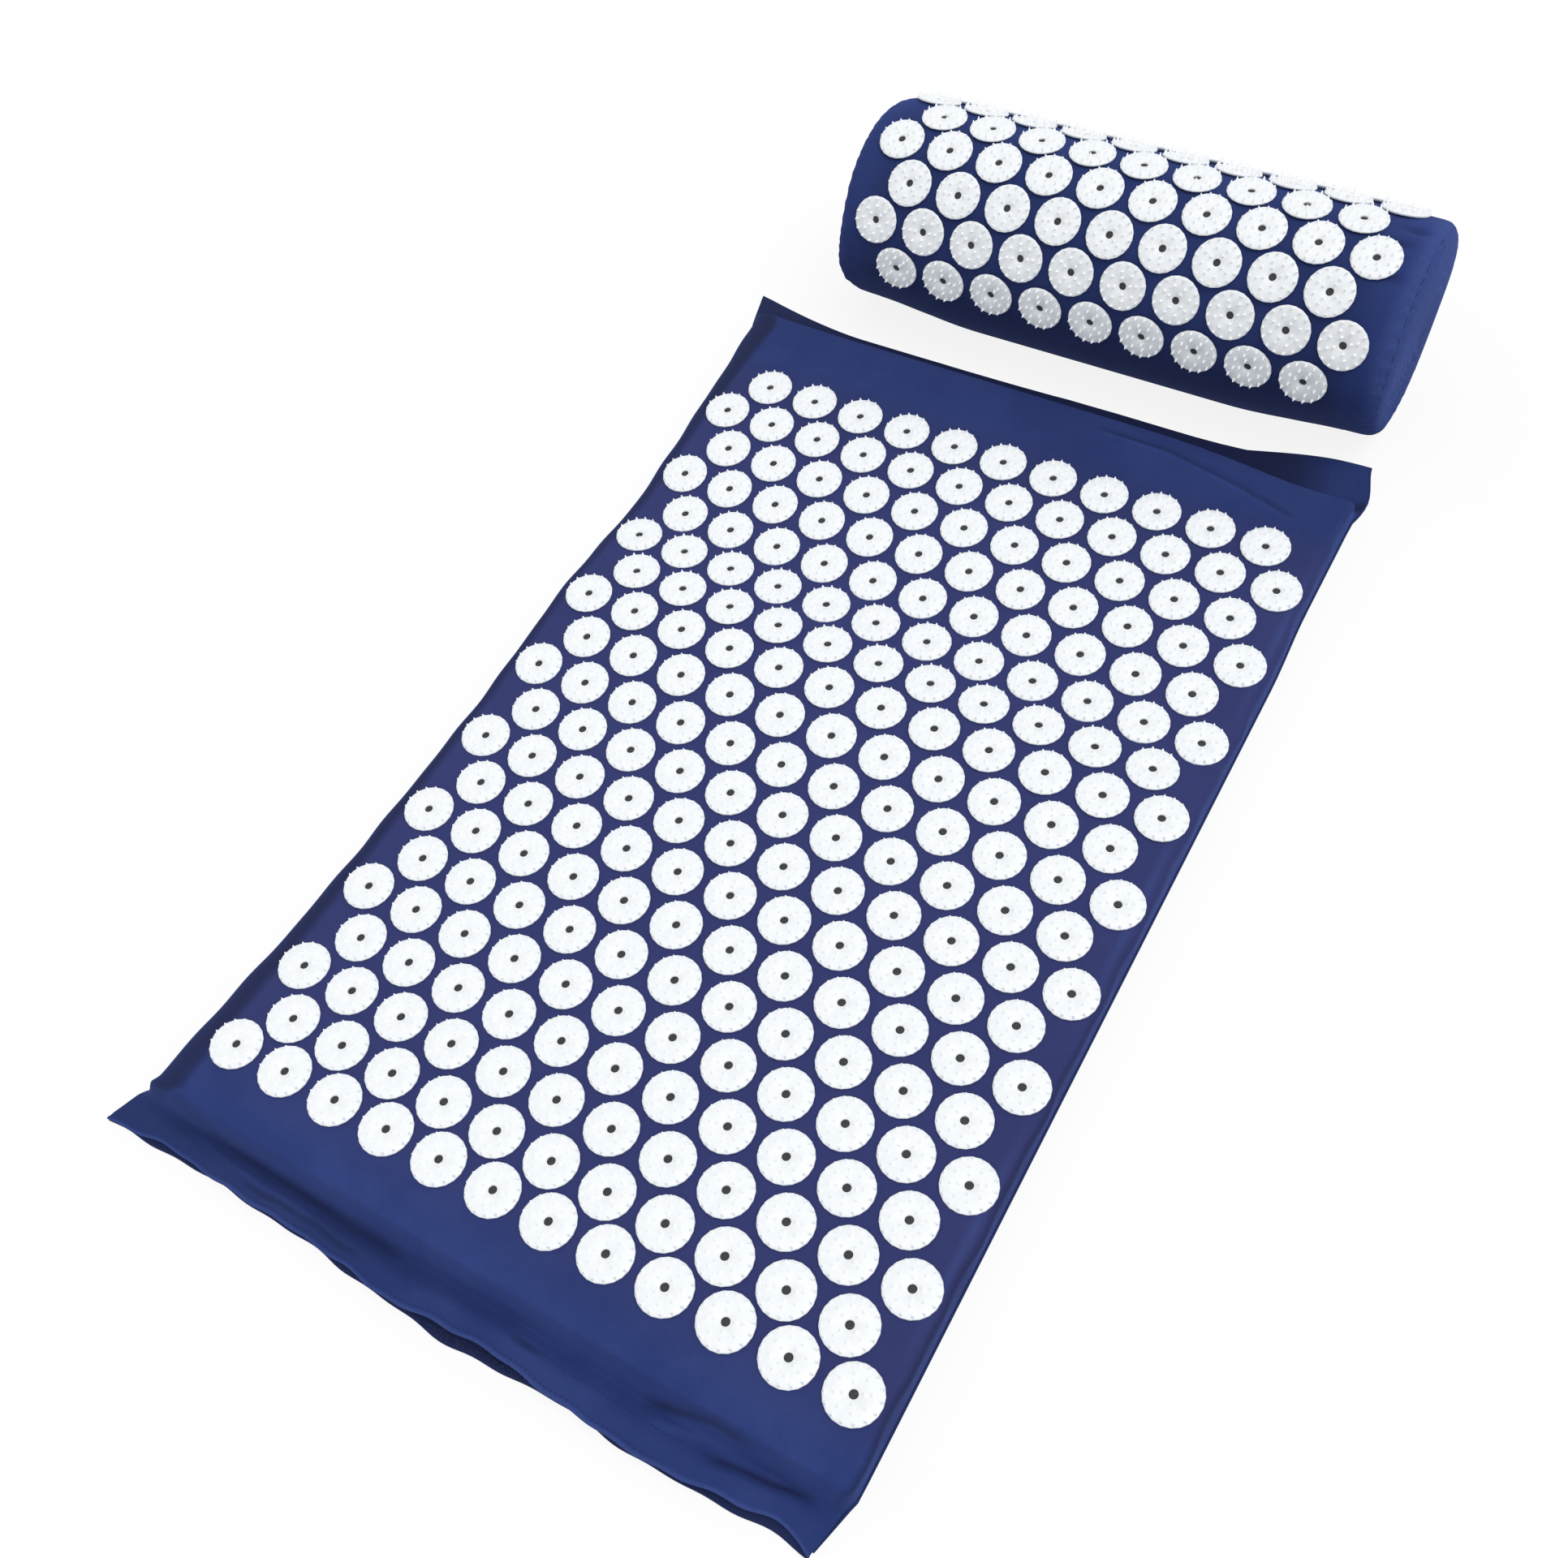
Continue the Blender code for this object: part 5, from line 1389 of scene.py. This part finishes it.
# The zip along the back of the cover has two woven tapes, a chain of nylon coils, and a nickel slider
# with its pull. The tapes and stops keep the shape of the frame; the coils, slider and pull are made finer.
COIL_PITCH = 0.0015
COIL_RADIUS = 0.00065
COIL_LENGTH = 0.0030
COIL_SHIFT = 0.0005
COIL_EDGE = 0.0002
SLIDER_EDGE = 0.0003
PULL_EDGE = 0.00025
RIB_PITCH = 0.0008
RIB_RELIEF = 0.0002
NICKEL_RELIEF = 0.00008

tape = Finish("woven zip tape, navy", (0.012, 0.020, 0.070), 0.85)
tape_x, _, tape_z = tape.parts()
ribs = tape.math("SINE", (tape_x + tape_z) * (2 * math.pi / RIB_PITCH))
tape.tones(ribs, -0.7, 0.7, (0.008, 0.014, 0.050), (0.018, 0.028, 0.090))
tape.set("Specular IOR Level", 0.1)
tape.bump(ribs, RIB_RELIEF, 0.6)
coil_finish = Finish("navy nylon coil", (0.010, 0.016, 0.055), 0.35)
coil_grain = coil_finish.grain(700, 2.0)
coil_finish.tones(coil_grain, 0.3, 0.7, (0.008, 0.013, 0.045), (0.016, 0.024, 0.075))
coil_finish.set("Roughness", coil_finish.between(coil_grain, 0.3, 0.7, 0.28, 0.45))
nickel = Finish("dull nickel", (0.55, 0.54, 0.52), 0.35)
nickel_grain = nickel.grain(1500, 4.0)
nickel.set("Metallic", 1.0)
nickel.tones(nickel_grain, 0.35, 0.7, (0.49, 0.48, 0.465), (0.57, 0.56, 0.54))
nickel.set("Roughness", nickel.between(nickel_grain, 0.3, 0.7, 0.28, 0.48))
nickel.bump(nickel_grain, NICKEL_RELIEF, 0.5)
for node in ("zip_upper_tape", "zip_lower_tape"):
    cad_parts[node].material_slots[0].material = tape.material
for node in ("zip_left_stop", "zip_right_stop"):
    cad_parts[node].material_slots[0].material = nickel.material

chain_low, chain_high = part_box("zip_chain")
chain_middle = (chain_low + chain_high) / 2
deselect()
bpy.ops.mesh.primitive_cylinder_add(
    vertices=6, radius=COIL_RADIUS, depth=COIL_LENGTH, location=(0, 0, 0),
    rotation=(math.pi - ZIP_ANGLE, 0, 0),
)
coil = bpy.context.object
bpy.ops.object.transform_apply(location=False, rotation=True, scale=False)
round_edges(coil, COIL_EDGE, 1, 50)
coil_places = []
for k in range(int((chain_high.x - chain_low.x - 2 * COIL_RADIUS) / COIL_PITCH) + 1):
    x = chain_low.x + COIL_RADIUS + k * COIL_PITCH
    shift = COIL_SHIFT if k % 2 else -COIL_SHIFT
    coil_places.append(Matrix.Translation((x, chain_middle.y, chain_middle.z + shift)))
coils = joined_copies(coil, coil_places, "zip_coils")
coils.data.materials.append(coil_finish.material)
bpy.data.objects.remove(coil)
soften(coils, 50)
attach(coils, "pillow")
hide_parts("zip_chain")


def rounded_copy(node, name, body, width):
    """A copy of a metal part of the frame with its edges rounded."""
    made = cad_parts[node].copy()
    made.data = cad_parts[node].data.copy()
    made.parent = None
    for key in list(made.keys()):
        del made[key]
    made.name = made.data.name = name
    bpy.context.scene.collection.objects.link(made)
    weld(made, FINE_WELD)
    round_edges(made, width, 2, 35)
    soften(made)
    made.data.materials.clear()
    made.data.materials.append(nickel.material)
    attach(made, body)
    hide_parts(node)


rounded_copy("zip_slider", "zip_slider_body", "slider", SLIDER_EDGE)
rounded_copy("zip_pull", "zip_pull_tab", "pull", PULL_EDGE)

# Two rows of navy topstitches hold the mat's hem and the strip under it, and one row runs along each
# side of the zip.
STITCH_PITCH = 0.0031
STITCH_HALF_LENGTH = 0.00115
STITCH_HALF_WIDTH = 0.00032
STITCH_HALF_HEIGHT = 0.00025
STITCH_END_GAP = 0.001
LOW_STITCHES = 0.0028
HIGH_STITCHES = 0.0125
ZIP_STITCHES = 0.0022
ZIP_STITCHES_PAST = 0.004
STRAND_RELIEF = 0.0002

deselect()
bpy.ops.mesh.primitive_uv_sphere_add(segments=6, ring_count=4, radius=1, rotation=(0, math.pi / 2, 0))
stitch = bpy.context.object
bpy.ops.object.transform_apply(location=False, rotation=True, scale=False)
stitch.data.transform(Matrix.Diagonal((STITCH_HALF_LENGTH, STITCH_HALF_WIDTH, STITCH_HALF_HEIGHT, 1)))
stitch_thread = Finish("navy stitching thread", NAVY, 0.85)
strands = stitch_thread.grain(2600, 2.0)
stitch_thread.tones(strands, 0.3, 0.7, (0.015, 0.028, 0.110), (0.027, 0.050, 0.190))
stitch_thread.set("Specular IOR Level", 0.1)
stitch_thread.bump(strands, STRAND_RELIEF, 0.6)


def stitch_row(name, seats, body, node):
    row = joined_copies(stitch, seats, name)
    soften(row, 80)
    row.data.materials.append(stitch_thread.material)
    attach(row, body)
    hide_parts(node)


def stitch_places(start, end):
    """Steps of one stitch from one end of a row towards the other."""
    return [start + STITCH_PITCH * k for k in range(int((end - start) / STITCH_PITCH) + 1)]


hem_us = stitch_places(-TAIL_BEND + STITCH_END_GAP, TAIL_BEND - STITCH_END_GAP)
for name, past in (("mat_hem_stitches_low", LOW_STITCHES), ("mat_hem_stitches_high", HIGH_STITCHES)):
    seats = [disc_seat(loose_cover, u, MOUTH_Y + past) for u in hem_us]
    stitch_row(name, seats, "mat", "mat_top_panel")
zip_us = stitch_places(ZIP_LEFT - ZIP_STITCHES_PAST, ZIP_RIGHT + ZIP_STITCHES_PAST)
for name, side in (("pillow_zip_stitches_low", 1), ("pillow_zip_stitches_high", -1)):
    v = ZIP_ANGLE * PILLOW_RADIUS + side * (ZIP_SLOT / 2 + ZIP_STITCHES)
    node = "pillow_base_panel" if side > 0 else "pillow_top_panel"
    stitch_row(name, [seat_on_cover(disc_seat(pillow_cover, u, v)) for u in zip_us], "pillow", node)
bpy.data.objects.remove(stitch)
bpy.data.objects.remove(disc)

# The studio is a plain white floor under soft light from above. The floor glows where the camera sees
# it, so that it stays as white as the photograph's ground, and is a dull grey to the light.
SCENE_WHITE = (1.0, 1.0, 1.0, 1.0)
FLOOR_SIZE = 30
FLOOR_GAP = 0.0004
FLOOR_GREY = (0.25, 0.25, 0.26, 1.0)
FLOOR_WHITE = (0.98, 0.98, 0.98, 1.0)
FLOOR_GLOW_SHARE = 0.86
SKY_STRENGTH = 0.70
LAMP_STRENGTH = 1.15
LAMP_SPREAD = math.radians(40)
LAMP_FROM = Vector((0.42, 0.02, 1.0))


def plain(tree, kind, colour):
    """A shader of one colour."""
    made = tree.nodes.new(kind)
    made.inputs["Color"].default_value = colour
    return made.outputs[0]


def blended(tree, one, other):
    """A blend of two shaders, with the socket that sets it."""
    made = tree.nodes.new("ShaderNodeMixShader")
    tree.links.new(one, made.inputs[1])
    tree.links.new(other, made.inputs[2])
    return made.inputs[0], made.outputs[0]


def seen_by(tree, *rays):
    """One for rays of the kinds named, and nothing for the rest."""
    paths = tree.nodes.new("ShaderNodeLightPath")
    found = paths.outputs[rays[0]]
    for ray in rays[1:]:
        either = tree.nodes.new("ShaderNodeMath")
        either.operation = "MAXIMUM"
        tree.links.new(found, either.inputs[0])
        tree.links.new(paths.outputs[ray], either.inputs[1])
        found = either.outputs[0]
    return found


bpy.context.scene.view_settings.view_transform = "Standard"
deselect()
bpy.ops.mesh.primitive_plane_add(size=FLOOR_SIZE, location=(0, 0, -FLOOR_GAP))
floor = bpy.context.object
floor.name = "floor"
floor_material = bpy.data.materials.new("floor")
floor_material.use_nodes = True
floor_tree = floor_material.node_tree
floor_tree.nodes.remove(floor_tree.nodes["Principled BSDF"])
matt = plain(floor_tree, "ShaderNodeBsdfDiffuse", FLOOR_GREY)
bright = plain(floor_tree, "ShaderNodeBsdfDiffuse", FLOOR_WHITE)
glow = plain(floor_tree, "ShaderNodeEmission", SCENE_WHITE)
glow_share, lit = blended(floor_tree, bright, glow)
glow_share.default_value = FLOOR_GLOW_SHARE
floor_seen, floor_shader = blended(floor_tree, matt, lit)
floor_tree.links.new(seen_by(floor_tree, "Is Camera Ray", "Is Glossy Ray"), floor_seen)
floor_tree.links.new(floor_shader, floor_tree.nodes["Material Output"].inputs["Surface"])
floor.data.materials.append(floor_material)

world = bpy.data.worlds.new("studio")
bpy.context.scene.world = world
world.use_nodes = True
world_tree = world.node_tree
sky = world_tree.nodes["Background"]
sky.inputs["Color"].default_value = SCENE_WHITE
sky.inputs["Strength"].default_value = SKY_STRENGTH
backdrop = plain(world_tree, "ShaderNodeBackground", SCENE_WHITE)
world_seen, world_shader = blended(world_tree, sky.outputs[0], backdrop)
world_tree.links.new(
    seen_by(world_tree, "Is Camera Ray", "Is Glossy Ray", "Is Transmission Ray"), world_seen,
)
world_tree.links.new(world_shader, world_tree.nodes["World Output"].inputs["Surface"])

lamp_data = bpy.data.lights.new("softbox", "SUN")
lamp_data.energy = LAMP_STRENGTH
lamp_data.angle = LAMP_SPREAD
lamp = bpy.data.objects.new("softbox", lamp_data)
bpy.context.scene.collection.objects.link(lamp)
lamp.rotation_euler = (-LAMP_FROM).to_track_quat("-Z", "Y").to_euler()
